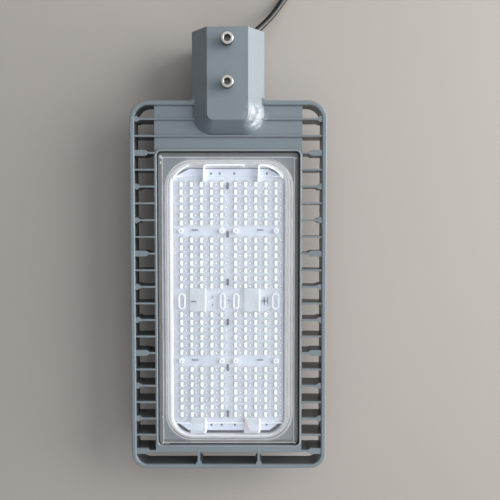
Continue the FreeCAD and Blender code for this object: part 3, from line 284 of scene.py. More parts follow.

# Open cells between rail, fins and body: from and to where their painted shade sets in, in metres
CELL_FOOT_Y = (-0.2330, -0.2320)
CELL_HEAD_Y = (0.1612, 0.1602)
CELL_OUTER_X = (0.1040, 0.1030)
CELL_INNER_X = (0.0785, 0.0789)
CELL_BODY_Y = (-0.2163, -0.2167)
CELL_TOP_Z = (0.0592, 0.0565)
CELL_SHADE_SHARE = 0.85
CELL_SHADE_COLOUR = (0.035, 0.040, 0.044)


def add_wrinkles_and_glints(tree, shader):
    """Glossy folds, with a paler grain painted as glints, that fade out round their centre."""
    place = tree.place()
    away = tree.vector("DISTANCE", {0: place, 1: WRINKLE_CENTRE}, "Value")
    near = tree.ramp(away, WRINKLE_REACH, WRINKLE_CORE, "SMOOTHSTEP")
    folds = tree.add("ShaderNodeTexVoronoi", {"Vector": place, "Scale": FOLD_SCALE})
    lean = tree.vector("SUBTRACT", {0: folds.outputs["Color"], 1: (0.5, 0.5, 0.5)})
    lean = tree.vector("SCALE", {0: lean, "Scale": tree.calc("MULTIPLY", near, FOLD_LEAN)})
    normal, rough = shader.inputs["Normal"], shader.inputs["Roughness"]
    leaned = tree.vector("ADD", {0: source_of(normal), 1: lean})
    tree.feed(normal, tree.vector("NORMALIZE", {0: leaned}))
    tree.feed(rough, tree.calc("MULTIPLY_ADD", near, FOLD_POLISH, source_of(rough)))
    # Painted highlight: paler specks on the folds stand in for glints.
    grain = tree.add("ShaderNodeTexNoise", {"Vector": place, "Scale": FOLD_GLINT_SCALE})
    tree.recolour(shader, tree.calc("MULTIPLY", near, grain.outputs[0]), FOLD_GLINT_COLOUR)


def paint_cell_shade(tree, shader):
    """Painted shade deep in the open cells: the coat colour darkens there."""
    axes = tree.add("ShaderNodeSeparateXYZ", {0: tree.place()})
    across = tree.calc("ABSOLUTE", axes.outputs["X"])
    along, height = axes.outputs["Y"], axes.outputs["Z"]
    deep = tree.calc(
        "MAXIMUM", tree.ramp(across, *CELL_INNER_X), tree.ramp(along, *CELL_BODY_Y)
    )
    limits = (
        (along, CELL_FOOT_Y), (along, CELL_HEAD_Y), (across, CELL_OUTER_X), (height, CELL_TOP_Z)
    )
    for source, (start, end) in limits:
        deep = tree.calc("MULTIPLY", deep, tree.ramp(source, start, end))
    # Painted shade: the coat turns towards a near-black colour in the cells.
    tree.recolour(shader, tree.calc("MULTIPLY", deep, CELL_SHADE_SHARE), CELL_SHADE_COLOUR)


powder_coat = coated(
    "powder_coat", (0.188, 0.226, 0.250), rough=0.44, bump=0.25, bump_depth=0.00012,
    variation=0.05, rounding=0.0007,
)
coat_tree = Tree(powder_coat.node_tree)
coat_shader = next(n for n in coat_tree.nodes if n.type == "BSDF_PRINCIPLED")
add_wrinkles_and_glints(coat_tree, coat_shader)
paint_cell_shade(coat_tree, coat_shader)
# Painted highlight: a lighter copy of the powder coat for the window's lip.
lip_painted_highlight = coated("lip_painted_highlight", (0.245, 0.285, 0.31), rough=0.4, bump=0.2, variation=0.04)
rubber = surface(
    "rubber_black", (0.02, 0.021, 0.022), rough=0.65, rough_spread=0.08, grain=700.0, bump=0.2
)
silicone = surface(
    "silicone_white", (0.80, 0.79, 0.80), rough=0.4, grain=500.0, variation=0.03, patches=60.0
)
sealant = surface(
    "sealant_dark", (0.035, 0.037, 0.04), rough=0.55, rough_spread=0.08, grain=700.0, bump=0.2
)
steel = surface(
    "steel", (0.62, 0.62, 0.62), rough=0.24, rough_spread=0.08, grain=1600.0, bump=0.25,
    bump_depth=0.00006, variation=0.08, patches=90.0, metallic=1.0, stretch=(1.0, 1.0, 0.1),
    rounding=0.0003,
)
screw_ring = surface(
    "screw_ring", (0.60, 0.57, 0.53), rough=0.30, grain=1600.0, bump=0.25, bump_depth=0.00006,
    patches=90.0, metallic=0.65, rounding=0.0003,
)
# Painted shade: a dark copy of the screw steel, for the hex socket, the underside and the knurl of
# the clamp screws.
steel_painted_shade = surface(
    "steel_painted_shade", (0.17, 0.165, 0.155), rough=0.42, rough_spread=0.08, grain=1400.0, bump=0.3,
    bump_depth=0.00006, variation=0.1, patches=120.0, metallic=1.0,
)
# Painted light: the lens screws glow faintly, to stay bright under the lens haze.
bright_screw = surface(
    "screw_white", (0.93, 0.94, 0.95), rough=0.3, variation=0.02, patches=200.0, emission=0.12
)
case_metal = surface(
    "case_metal", (0.50, 0.51, 0.52), rough=0.36, rough_spread=0.08, grain=500.0, bump=0.2,
    bump_depth=0.00008, patches=30.0, metallic=1.0, stretch=(8.0, 0.6, 8.0), rounding=0.0005,
)
case_cream = surface(
    "case_cream", (0.60, 0.59, 0.53), grain=1200.0, bump=0.2, rounding=0.0004
)
terminal_white = surface("terminal_white", (0.68, 0.68, 0.65), rough=0.42, bump=0.12)
brass = surface(
    "brass", (0.62, 0.47, 0.22), rough=0.32, rough_spread=0.08, bump=0.2, metallic=1.0
)
nylon = surface(
    "nylon_black", (0.022, 0.023, 0.025), rough=0.48, rough_spread=0.08, grain=1300.0, bump=0.3,
    rounding=0.0003,
)
solder_mask = surface(
    "solder_mask", (0.78, 0.825, 0.945), rough=0.42, grain=400.0, bump=0.06, variation=0.015,
    patches=35.0,
)
# Painted light: the LED packages glow, though the lamp is off, for the bright highlights the lenses
# show.
phosphor_painted_glow = surface(
    "phosphor_painted_glow", (0.96, 0.97, 0.98), rough=0.45, rough_spread=0.05, bump=0.05, variation=0.02,
    emission=0.55,
)
# Painted shade: grey rings on the board round each package, for the darker edges of the domes
# above.
halo_painted_shade = surface(
    "halo_painted_shade", (0.50, 0.55, 0.65), rough_spread=0.05, grain=600.0, bump=0.05, variation=0.04
)
clip_grey = surface("clip_grey", (0.17, 0.18, 0.21), bump=0.15)
silk_grey = surface("silk_grey", (0.15, 0.16, 0.19), rough=0.6, rough_spread=0.05, bump=0.05)
# Painted shade: dark colour of the sheet at the boards' foot.
foot_shade_sheet = surface("foot_shade_sheet", (0.075, 0.08, 0.095), rough=0.6, grain=500.0, bump=0.2)
sheath = surface(
    "sheath", (0.012, 0.012, 0.013), rough=0.38, grain=700.0, bump=0.25, patches=80.0
)
strap = surface(
    "strap", (0.02, 0.02, 0.022), rough=0.6, grain=2200.0, bump=0.5, stretch=(1.0, 3.0, 1.0)
)
brown = insulation("core_brown", (0.12, 0.035, 0.012))
blue = insulation("core_blue", (0.02, 0.07, 0.38))
red = insulation("lead_red", (0.42, 0.012, 0.012))
black = insulation("lead_black", (0.012, 0.012, 0.012), 0.42)
earth = striped("core_earth", (0.05, 0.26, 0.02), (0.62, 0.52, 0.02), 90.0)
rib_edge = painted_highlight_edge("rib_edge", (0.95, 0.96, 0.97), 0.3)
bright_edge = painted_highlight_edge("lens_edge", (0.93, 0.94, 0.96), 0.12)
cover_clear = clear_plastic(
    "cover_clear", tint=(0.99, 0.995, 1.0), haze=0.03, haze_colour=(0.80, 0.82, 0.85),
    gloss_rough=0.05, edge=0.3, rim=(0.66, 0.68, 0.72),
)
cover_margin = clear_plastic(
    "cover_margin", tint=(0.97, 0.97, 0.98), haze=0.165, haze_colour=(0.50, 0.505, 0.52),
    gloss_rough=0.10, edge=0.3, rim=(0.6, 0.61, 0.64),
)
# Painted reflections: grey haze on the cover's step and bright haze on its ridge, step top and
# flange domes stand in for the lines the step refracts and reflects.
cover_step = clear_plastic(
    "cover_step", tint=(0.98, 0.98, 0.99), haze=0.42, haze_colour=(0.66, 0.66, 0.67),
    gloss_rough=0.10, edge=0.3, rim=(0.75, 0.76, 0.78),
)
cover_line = clear_plastic(
    "cover_line", tint=(0.99, 0.99, 0.99), haze=0.5, haze_colour=(0.86, 0.87, 0.88),
    gloss_rough=0.08, edge=0.2, rim=(0.8, 0.81, 0.82),
)
lens_clear = clear_plastic(
    "lens_clear", tint=(0.99, 0.995, 1.0), haze=0.24, haze_colour=(0.95, 0.98, 1.0),
    gloss_rough=0.12, edge=0.4, rim=(0.76, 0.80, 0.90), mirror_base=0.008,
)
lens_dome = clear_plastic(
    "lens_dome", tint=(0.995, 1.0, 1.0), haze=0.16, haze_colour=(0.96, 0.985, 1.0),
    gloss_rough=0.12, edge=0.2, rim=(0.93, 0.96, 1.0),
)
frosted = clear_plastic(
    "lens_frosted", tint=(0.985, 0.995, 1.0), haze=0.5, haze_colour=(0.90, 0.94, 1.0),
    gloss_rough=0.2, edge=0.3, rim=(0.90, 0.93, 0.98),
)

NODE_MATERIALS = {
    "housing": powder_coat,
    "driver_cover": powder_coat,
    "driver_cover_gasket": rubber,
    "gland_seal": rubber,
    "sealant_bead": sealant,
    "cover_seal": silicone,
    "clamp_screw_outer": steel,
    "clamp_screw_inner": steel,
    "driver_cover_screws": steel,
    "driver_screws": steel,
    "surge_protector_screws": steel,
    "terminal_block_screws": steel,
    "lens_screws": bright_screw,
    "led_driver": case_metal,
    "surge_protector": case_cream,
    "terminal_block": terminal_white,
    "terminal_screws": brass,
    "gland_body": nylon,
    "gland_nut": nylon,
    "gland_locknut": nylon,
    "breather_vent": nylon,
    "breather_vent_nut": nylon,
    "lens_clips": clip_grey,
    "led_board_upper": solder_mask,
    "led_board_lower": solder_mask,
    "led_chips_upper": phosphor_painted_glow,
    "led_chips_lower": phosphor_painted_glow,
    "lens_plate_upper": lens_clear,
    "lens_plate_lower": lens_clear,
    "optical_cover": cover_clear,
    "inner_cable": sheath,
    "tail_core_brown": brown,
    "tail_core_blue": blue,
    "tail_core_earth": earth,
    "mains_cores": brown,
    "driver_input_leads": blue,
    "surge_leads": red,
    "dc_lead_red": red,
    "series_link": red,
    "dc_lead_black": black,
}

for node_name, node_material in NODE_MATERIALS.items():
    node_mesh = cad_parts[node_name].data
    node_mesh.materials.clear()
    node_mesh.materials.append(node_material)


# Supply cable: out of the gland, over the socket's mouth and into a flat coil of three turns
CABLE_D = 7.0
CABLE_R = CABLE_D / 2
ROUTE = [
    (0.0, 162.9, 29.0),
    (0.0, 178.5, 29.0),
    (-1.6, 194.0, 29.8),
    (0.4, 209.5, 31.4),
    (9.4, 224.5, 32.6),
    (22.8, 237.4, 30.8),
    (36.6, 251.0, 22.4),
    (49.4, 267.4, 11.0),
    (60.2, 284.6, 3.5),
    (68.4, 295.2, 3.5),
]
ENTRY_DEG = 37.7
COIL_STUB = 28.0
COIL_R = 45.5
FLOOR_TURNS = 2
FLOOR_DEG = 360.0 * FLOOR_TURNS
LAST_DEG = 90.0 + ENTRY_DEG + 360.0 * (FLOOR_TURNS + 1)
POINTS_PER_TURN = 24
INNER_R = COIL_R - CABLE_D * FLOOR_TURNS
UPPER_Z = 3 * CABLE_R
FLOOR_LAYER_Z = CABLE_R + 0.1
CLIMB_DEG = 90.0
CLIMB_IN, CLIMB_OUT, CLIMB_SINK = 0.6, 1.4, 0.6
COIL_EXIT = [(6.0, 10.3), (-7.0, 9.4), (-18.0, 6.2), (-28.0, CABLE_R)]
TAIL_STEPS = [(-15.0, 0.0), (-31.0, -5.0), (-44.0, -15.0)]
TIE_DEG = 180.0
TIE_LIFT = 0.55
TIE_FACES = (0.02, TIE_LIFT - 0.03)
TIE_SPREAD_DEG = 30.0
TIE_HALF = 4.5
TIE_POINTS = 64
TIE_START = (60.0, 6.0)


def beyond_route(distance):
    ahead = radians(ENTRY_DEG)
    x, y, _ = ROUTE[-1]
    return (x + distance * sin(ahead), y + distance * cos(ahead), CABLE_R)


def coil_centre():
    ahead = radians(ENTRY_DEG)
    x, y, _ = beyond_route(COIL_STUB)
    return (x - COIL_R * cos(ahead), y + COIL_R * sin(ahead))


def coil_radius(turned):
    """Radius and height of the cable's middle after so many degrees in the coil."""
    if turned <= FLOOR_DEG:
        return COIL_R - CABLE_D * turned / 360.0, CABLE_R
    climbed = turned - FLOOR_DEG
    if climbed <= CLIMB_DEG:
        share = climbed / CLIMB_DEG
        rise = share * share * (3 - 2 * share)
        r = INNER_R - CLIMB_IN * sin(pi * share) + CLIMB_OUT * rise
        return r, CABLE_R + (UPPER_Z - CLIMB_SINK - CABLE_R) * rise
    share = (climbed - CLIMB_DEG) / (LAST_DEG - FLOOR_DEG - CLIMB_DEG)
    return INNER_R + CLIMB_OUT + (COIL_R - INNER_R - CLIMB_OUT) * share, UPPER_Z


def coil_point(turned):
    """Control point of the coil, a little outside the curve, and raised near the tie."""
    r, z = coil_radius(turned)
    r = r / (0.75 + 0.25 * cos(2 * pi / POINTS_PER_TURN))
    x, y = coil_centre()
    angle = radians(turned - ENTRY_DEG)
    off_tie = abs((turned - ENTRY_DEG - TIE_DEG + 180.0) % 360.0 - 180.0)
    if z < FLOOR_LAYER_Z:
        z += TIE_LIFT * max(0.0, 1.0 - off_tie / TIE_SPREAD_DEG)
    return (x + r * cos(angle), y + r * sin(angle), z)


def cable_points():
    step = 360.0 / POINTS_PER_TURN
    points = [*ROUTE, beyond_route(COIL_STUB / 2)]
    points += [coil_point(step * i) for i in range(int(LAST_DEG / step))]
    cx, cy = coil_centre()
    top_y = cy + COIL_R
    points += [(cx + dx, top_y, z) for dx, z in COIL_EXIT]
    points += [(cx - COIL_STUB + dx, top_y + dy, CABLE_R) for dx, dy in TAIL_STEPS]
    return points


def swept_curve(name, points, radius, material):
    curve = bpy.data.curves.new(name, "CURVE")
    curve.dimensions = "3D"
    curve.bevel_depth = radius * MM
    curve.bevel_resolution = 5
    curve.resolution_u = 8
    curve.use_fill_caps = True
    spline = curve.splines.new("NURBS")
    spline.points.add(len(points) - 1)
    for target, (x, y, z) in zip(spline.points, points):
        target.co = (x * MM, y * MM, z * MM, 1.0)
    spline.order_u = 3
    spline.use_endpoint_u = True
    curve.materials.append(material)
    piece = bpy.data.objects.new(name, curve)
    bpy.context.collection.objects.link(piece)
    return piece


cable = swept_curve("supply_cable_free", cable_points(), CABLE_R, sheath)
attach(cable, "root")
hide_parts("supply_cable", "cable_coil", "supply_cable_tail")


# Mesh helpers
def add_look(name, build, materials, nodes=(), smooth_deg=35.0):
    """Piece from mesh code in millimetres, riding with the head."""
    mesh = bpy.data.meshes.new(name)
    work = bmesh.new()
    build(work)
    bmesh.ops.recalc_face_normals(work, faces=work.faces[:])
    work.to_mesh(mesh)
    work.free()
    mesh.transform(((MM, 0, 0, 0), (0, MM, 0, 0), (0, 0, MM, 0), (0, 0, 0, 1)))
    for material in materials:
        mesh.materials.append(material)
    for polygon in mesh.polygons:
        polygon.use_smooth = True
    mesh.set_sharp_from_angle(angle=radians(smooth_deg))
    piece = bpy.data.objects.new(name, mesh)
    bpy.context.collection.objects.link(piece)
    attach(piece, "root")
    if nodes:
        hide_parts(*nodes)
    return piece


def loop_at(work, points):
    return [work.verts.new(p) for p in points]


def bridge(work, first, second, index=0):
    """Faces between two loops, with one of the piece's materials."""
    count = len(first)
    for i in range(count):
        j = (i + 1) % count
        work.faces.new((first[i], first[j], second[j], second[i])).material_index = index


def stack(work, loops, closed=False):
    """Skin over a row of loops; closed joins the last one to the first."""
    rings = [loop_at(work, loop) for loop in loops]
    for first, second in zip(rings, rings[1:]):
        bridge(work, first, second)
    if closed:
        bridge(work, rings[-1], rings[0])
    return rings


def capped_stack(work, loops):
    rings = stack(work, loops)
    work.faces.new(rings[0])
    work.faces.new(rings[-1])


def prism(work, outline, z0, z1):
    capped_stack(work, [[(x, y, z) for x, y in outline] for z in (z0, z1)])


def oval(x, y, a, b, z, around):
    turns = [2 * pi * i / around for i in range(around)]
    return [(x + a * cos(t), y + b * sin(t), z) for t in turns]


def arc_points(x, y, r, start, end, z, steps=10):
    points = []
    for k in range(steps + 1):
        a = radians(start + (end - start) * k / steps)
        points.append((x + r * cos(a), y + r * sin(a), z))
    return points


CORNER_STEPS = 12


def rounded_loop(half, foot, head, r_foot, r_head, z):
    """Points round a rectangle with rounded corners, the same number for every size."""
    corners = [
        (half - r_foot, foot + r_foot, r_foot, -90.0),
        (half - r_head, head - r_head, r_head, 0.0),
        (-half + r_head, head - r_head, r_head, 90.0),
        (-half + r_foot, foot + r_foot, r_foot, 180.0),
    ]
    points = []
    for x, y, r, start in corners:
        points += arc_points(x, y, r, start, start + 90.0, z, CORNER_STEPS)
    return points


def slab(work, half, foot, head, r, z0, z1, edge, middle=0.0):
    """Plate with its top edge rounded over."""
    loops = [rounded_loop(half, foot, head, r, r, z0)]
    for k in range(4):
        a = radians(30.0 * k)
        inset = edge * (1.0 - cos(a))
        z = z1 - edge * (1.0 - sin(a))
        r_in = max(r - inset, 0.2)
        loops.append(rounded_loop(half - inset, foot + inset, head - inset, r_in, r_in, z))
    capped_stack(work, [[(x + middle, y, z) for x, y, z in loop] for loop in loops])


def bar_mark(work, x, y, half_x, half_y, z, thick=0.12):
    """Low block with round ends."""
    r = min(half_x, half_y) * 0.8
    loops = []
    for level in (z, z + thick):
        loop = rounded_loop(half_x, -half_y, half_y, r, r, level)
        loops.append([(px + x, py + y, pz) for px, py, pz in loop])
    capped_stack(work, loops)


def oval_dome(work, x, y, z0, a, b, h, rings=6, around=18):
    previous = None
    for k in range(rings):
        lift = radians(90.0 * k / rings)
        loop = oval(x, y, a * cos(lift), b * cos(lift), z0 + h * sin(lift), around)
        ring = loop_at(work, loop)
        if previous:
            bridge(work, previous, ring)
        previous = ring
    top = work.verts.new((x, y, z0 + h))
    for i in range(around):
        work.faces.new((previous[i], previous[(i + 1) % around], top))


def tube_along(work, points, radius, flat=1.0, around=8):
    """Bead along a line of points, round in section or stretched upwards."""
    loops = []
    for i, p in enumerate(points):
        before = Vector(points[max(i - 1, 0)])
        after = Vector(points[min(i + 1, len(points) - 1)])
        ahead = (after - before).normalized()
        side = Vector((-ahead.y, ahead.x, 0.0)).normalized()
        up = ahead.cross(side) * -1.0
        if up.z < 0:
            up = up * -1.0
        centre = Vector(p)
        ring = []
        for k in range(around):
            a = 2 * pi * k / around
            ring.append(centre + side * (radius * cos(a)) + up * (radius * flat * sin(a)))
        loops.append(ring)
    capped_stack(work, loops)


# Tie round the coil
def hull_outline(circles, grow, steps=40):
    """Outline in a plane that wraps round several circles."""
    cloud = []
    for u, v, r in circles:
        cloud += [(x, y) for x, y, _ in oval(u, v, r + grow, r + grow, 0.0, steps)]
    cloud = sorted(set(cloud))

    def half(points):
        chain = []
        for p in points:
            while len(chain) > 1:
                ax, ay = chain[-1][0] - chain[-2][0], chain[-1][1] - chain[-2][1]
                bx, by = p[0] - chain[-1][0], p[1] - chain[-1][1]
                if ax * by - ay * bx > 0:
                    break
                chain.pop()
            chain.append(p)
        return chain[:-1]

    return half(cloud) + half(cloud[::-1])


def even_points(outline, count, start):
    """Points at even steps along a closed outline, from the one nearest to start."""
    total = [0.0]
    for p, q in zip(outline, outline[1:] + outline[:1]):
        total.append(total[-1] + hypot(q[0] - p[0], q[1] - p[1]))
    picked = []
    for k in range(count):
        want = total[-1] * k / count
        i = max(n for n in range(len(outline)) if total[n] <= want + 1e-9)
        p, q = outline[i], outline[(i + 1) % len(outline)]
        t = (want - total[i]) / max(total[i + 1] - total[i], 1e-9)
        picked.append((p[0] + (q[0] - p[0]) * t, p[1] + (q[1] - p[1]) * t))
    away = [(u - start[0]) ** 2 + (v - start[1]) ** 2 for u, v in picked]
    first = away.index(min(away))
    return picked[first:] + picked[:first]


def build_tie(work):
    circles = []
    for turn in range(FLOOR_TURNS + 1):
        r, z = coil_radius(TIE_DEG + ENTRY_DEG + 360.0 * turn)
        if z < FLOOR_LAYER_Z:
            z += TIE_LIFT
        circles.append((r, z, CABLE_R))
    inner, outer = (hull_outline(circles, grow) for grow in TIE_FACES)
    angle = radians(TIE_DEG)
    ahead = Vector((-sin(angle), cos(angle), 0.0))
    out = Vector((cos(angle), sin(angle), 0.0))
    base = Vector((*coil_centre(), 0.0))
    loops = []
    for along, outline in (
        (-TIE_HALF, inner), (-TIE_HALF, outer), (TIE_HALF, outer), (TIE_HALF, inner)
    ):
        points = even_points(outline, TIE_POINTS, TIE_START)
        loops.append([base + out * u + ahead * along + Vector((0, 0, v)) for u, v in points])
    stack(work, loops, closed=True)


tie = add_look("coil_tie", build_tie, [strap])


# Boards, a dark sheet painted as shade at their foot, and the white packages under the domes, which
# glow as painted light, with grey rings painted round them as the domes' shade
TRAY_Z = 47.0
BOARD_TOP_Z = 48.6
BOARD_LOW_Z = TRAY_Z + 0.35
BOARD_HALF = 59.9
BOARD_HEAD, BOARD_SEAM, BOARD_FOOT = 90.7, -51.1, -196.2
SEAM_GAP = 0.02
HEAD_CUT = (17.6, 9.3)
FOOT_CUT = (15.5, 11.5)
HOLE_ROWS_Y = (23.65, -118.35)
HOLE_ROW_GAP = 18.7
LED_XS = [side * (7.5 + 11.0 * i) for side in (-1, 1) for i in range(5)]
LED_PITCH_Y = 8.35
HEAD_ROWS, FOOT_ROWS = 6, 7
PACKAGE_SHIFT = -0.9
PACKAGE_HALF = (1.5, 2.75)
PACKAGE_TALL = 0.5
HALO_OVALS = ((1.2, 2.6), (2.7, 3.3))
HALO_POINTS = 20


def led_places(row_y):
    rows = [row_y + HOLE_ROW_GAP / 2 + LED_PITCH_Y * i for i in range(HEAD_ROWS)]
    rows += [row_y - HOLE_ROW_GAP / 2 - LED_PITCH_Y * i for i in range(FOOT_ROWS)]
    return [(x, y) for y in rows for x in LED_XS]


def board(work, right):
    """Board from its right-hand outline."""
    prism(work, right + [(-x, y) for x, y in right[::-1]], BOARD_LOW_Z, BOARD_TOP_Z)


def build_upper_board(work):
    cut_x, cut_y = HEAD_CUT
    board(work, [
        (BOARD_HALF, BOARD_SEAM + SEAM_GAP), (BOARD_HALF, BOARD_HEAD - cut_y),
        (BOARD_HALF - cut_x, BOARD_HEAD),
    ])


def build_lower_board(work):
    cut_x, cut_y = FOOT_CUT
    board(work, [
        (BOARD_HALF - cut_x, BOARD_FOOT), (BOARD_HALF, BOARD_FOOT + cut_y),
        (BOARD_HALF, BOARD_SEAM - SEAM_GAP),
    ])


# Painted shade: a dark sheet under the boards' foot, where the gap to the ring lies in shade.
def build_foot_shade_sheet(work):
    levels = (TRAY_Z + 0.02, TRAY_Z + 0.3)
    capped_stack(work, [rounded_loop(60.0, -199.3, -176.0, 19.5, 1.0, z) for z in levels])


def build_packages(row_y):
    def build(work):
        for x, y in led_places(row_y):
            bar_mark(work, x, y + PACKAGE_SHIFT, *PACKAGE_HALF, BOARD_TOP_Z + 0.03, PACKAGE_TALL)
    return build


# Painted shade of the domes' edges: grey rings round each package.
def build_halos(row_y):
    def build(work):
        for x, y in led_places(row_y):
            middle = y + PACKAGE_SHIFT
            loops = [oval(x, middle, a, b, BOARD_TOP_Z + 0.02, HALO_POINTS) for a, b in HALO_OVALS]
            stack(work, loops)
    return build


# Lens plate with its domes, painted glints, hoods over the wire pads and rings round the small pads
LENS_TOP_Z = 51.4
PLATE_HALF = 59.8
PLATE_FOOT, PLATE_HEAD = -187.6, 82.1
DOME = (3.5, 3.75, 2.0)
GLINT_SHAPE = (0.6, 0.95, 0.35)
GLINT_SHIFT = (5.0, -1.0)
HOOD_XS = (-33.6, 25.2)
HOOD_HALF = 8.6
HOOD_TOP_Z = 53.6
UPPER_HOOD_Y = (-64.4, -38.6)
LOWER_HOOD_Y = (-198.4, -181.2)
PAD_RINGS = ((-50.9, 3.9), (-6.6, 3.2), (8.0, 3.4), (50.9, 4.0))
PAD_RING_Y, PAD_RING_HALF = -53.1, 8.9
PAD_WALL = 1.75


def build_lens(work):
    slab(work, PLATE_HALF, PLATE_FOOT, PLATE_HEAD, 4.0, BOARD_TOP_Z + 0.1, LENS_TOP_Z, 0.5)


def build_domes(work):
    for row_y in HOLE_ROWS_Y:
        for x, y in led_places(row_y):
            oval_dome(work, x, y, LENS_TOP_Z + 0.01, *DOME)


# Painted highlights: small glowing white bumps beside each dome stand in for the lenses' glints.
def build_lens_glints(work):
    for row_y in HOLE_ROWS_Y:
        for x, y in led_places(row_y):
            oval_dome(work, x + GLINT_SHIFT[0], y + GLINT_SHIFT[1], LENS_TOP_Z - 0.05, *GLINT_SHAPE, 3, 10)


def build_hoods(foot, head):
    def build(work):
        for x in HOOD_XS:
            slab(work, HOOD_HALF, foot, head, 1.6, LENS_TOP_Z - 0.2, HOOD_TOP_Z, 0.9, x)
    return build


def build_pad_rings(work):
    """Raised rings with straight sides and round ends, in glowing white as a painted highlight."""
    z0, z1 = LENS_TOP_Z - 0.1, LENS_TOP_Z + 0.8
    sections = (
        (0.0, z0), (0.0, z1 - 0.4), (0.3, z1), (PAD_WALL - 0.3, z1), (PAD_WALL, z1 - 0.4),
        (PAD_WALL, z0),
    )
    for x, half_w in PAD_RINGS:
        straight = PAD_RING_HALF - half_w
        loops = []
        for inset, z in sections:
            r = half_w - inset
            head = arc_points(x, PAD_RING_Y + straight, r, 0.0, 180.0, z)
            foot = arc_points(x, PAD_RING_Y - straight, r, 180.0, 360.0, z)
            loops.append(head + foot)
        stack(work, loops)


# Bright ribs: the free edges of the clear mouldings, in glowing white as painted highlights
RIB_Z = 51.7
RIB_R, RIB_TALL = 0.55, 5.6
BEAD_Z, BEAD_R = 54.9, 0.85
HEAD_ARC = (-34.6, 66.9)
HOOD_RIB_Z = 53.1
PLATE_LIPS_HEAD = ((-58.6, -49.5), (47.5, 58.0))
PLATE_LIPS_FOOT = ((-60.0, -42.6), (-24.6, 16.4), (34.2, 60.0))


def tall_rib(work, points):
    """Thin wall with a round bead along its top."""
    tube_along(work, points, RIB_R, RIB_TALL)
    tube_along(work, [(x, y, BEAD_Z) for x, y, _ in points], BEAD_R)


def build_ribs_upper(work):
    z = RIB_Z
    x, y = HEAD_ARC
    tall_rib(work, arc_points(x, y, 28.0, 152.0, 108.5, z, 14))
    middle = [(-26.9, 77.0, z), (-26.6, 86.0, z), (-26.4, 91.6, z)]
    middle += arc_points(-23.6, 91.4, 2.8, 180.0, 90.0, z, 6)
    middle += [(0.0, 94.3, z), (14.6, 94.2, z)]
    middle += arc_points(14.6, 92.2, 2.0, 90.0, 20.0, z, 5)
    tall_rib(work, middle)
    right = [(32.1, 77.0, z), (32.3, 86.0, z), (32.4, 91.6, z)]
    right += arc_points(34.9, 91.6, 2.5, 180.0, 90.0, z, 6)
    right += arc_points(-x, y, 27.2, 84.0, 30.0, z, 14)
    tall_rib(work, right)
    for x in HOOD_XS:
        tube_along(work, [(x + 8.2, -63.9, HOOD_RIB_Z), (x + 8.2, -39.2, HOOD_RIB_Z)], 0.75)
    z = LENS_TOP_Z + 0.2
    for x0, x1 in PLATE_LIPS_HEAD:
        tube_along(work, [(x0, 82.0, z), (x1, 82.0, z)], 0.4)


def build_ribs_lower(work):
    for x in HOOD_XS:
        side = [(x + 8.4, -182.0, HOOD_RIB_Z), (x + 8.4, -195.2, HOOD_RIB_Z)]
        side += arc_points(x + 6.2, -195.2, 2.2, 0.0, -80.0, HOOD_RIB_Z, 5)
        tube_along(work, side, 1.15)
    z = LENS_TOP_Z + 0.1
    for x0, x1 in PLATE_LIPS_FOOT:
        tube_along(work, [(x0, -187.3, z), (x1, -187.3, z)], 0.42)


# Lens screws, keys and printed marks
SCREW_XS = (LED_XS[0], LED_XS[4], LED_XS[5], LED_XS[9])
LENS_SCREW_PROFILE = (
    (1.4, BOARD_TOP_Z - 3.0), (1.4, LENS_TOP_Z), (3.0, LENS_TOP_Z), (3.1, 52.2), (2.9, 52.8),
    (2.4, 53.05), (1.4, 53.0), (1.1, 52.8), (1.0, 52.6),
)
KEY_YS = (72.0, 19.7, -32.2, -75.8, -126.0, -176.7)
MARK_Z = LENS_TOP_Z + 0.01
BOARD_MARK_Z = BOARD_TOP_Z + 0.01
HEAD_DOT_XS, HEAD_DOT_Y = (-19.1, -9.6, 6.1, 41.5), 85.6
FOOT_DOT_XS, FOOT_DOT_Y = (-19.3, -8.0, 6.6, 41.5), -190.3
WORD_XS, WORD_STROKES = (-36.6, 34.4), 4


def build_screws(work):
    for row_y in HOLE_ROWS_Y:
        for x in SCREW_XS:
            capped_stack(work, [oval(x, row_y, r, r, z, 24) for r, z in LENS_SCREW_PROFILE])


# Painted shade: a grey dome in each screw's recess, offset to the left.
def build_screw_recess_shade(work):
    for row_y in HOLE_ROWS_Y:
        for x in SCREW_XS:
            oval_dome(work, x - 0.4, row_y - 0.2, 52.5, 0.7, 0.8, 0.3, 3, 14)


def build_keys(work):
    for y in KEY_YS:
        bar_mark(work, -1.0, y, 1.3, 3.7, LENS_TOP_Z - 0.1, 0.6)


def build_marks(work):
    """Polarity marks at the pads, small round pads at the boards' ends, short strokes."""
    bar_mark(work, -38.0, -53.1, 3.1, 0.6, HOOD_TOP_Z + 0.02)
    bar_mark(work, 38.6, -52.7, 2.7, 0.6, MARK_Z)
    bar_mark(work, 38.6, -52.7, 0.6, 4.2, MARK_Z)
    bar_mark(work, 42.4, -52.7, 0.45, 4.2, MARK_Z)
    for y in (-48.2, -56.9):
        bar_mark(work, -17.6, y, 0.75, 0.8, MARK_Z)
    bar_mark(work, 0.2, -52.3, 0.8, 0.8, MARK_Z)
    for x in HEAD_DOT_XS:
        bar_mark(work, x, HEAD_DOT_Y, 1.2, 1.2, BOARD_MARK_Z)
    for x in FOOT_DOT_XS:
        bar_mark(work, x, FOOT_DOT_Y, 1.1, 1.1, BOARD_MARK_Z)
    for row_y in HOLE_ROWS_Y:
        for x in WORD_XS:
            for k in range(WORD_STROKES):
                bar_mark(work, x - 2.7 + 1.8 * k, row_y + 0.9, 0.65, 0.95, MARK_Z)


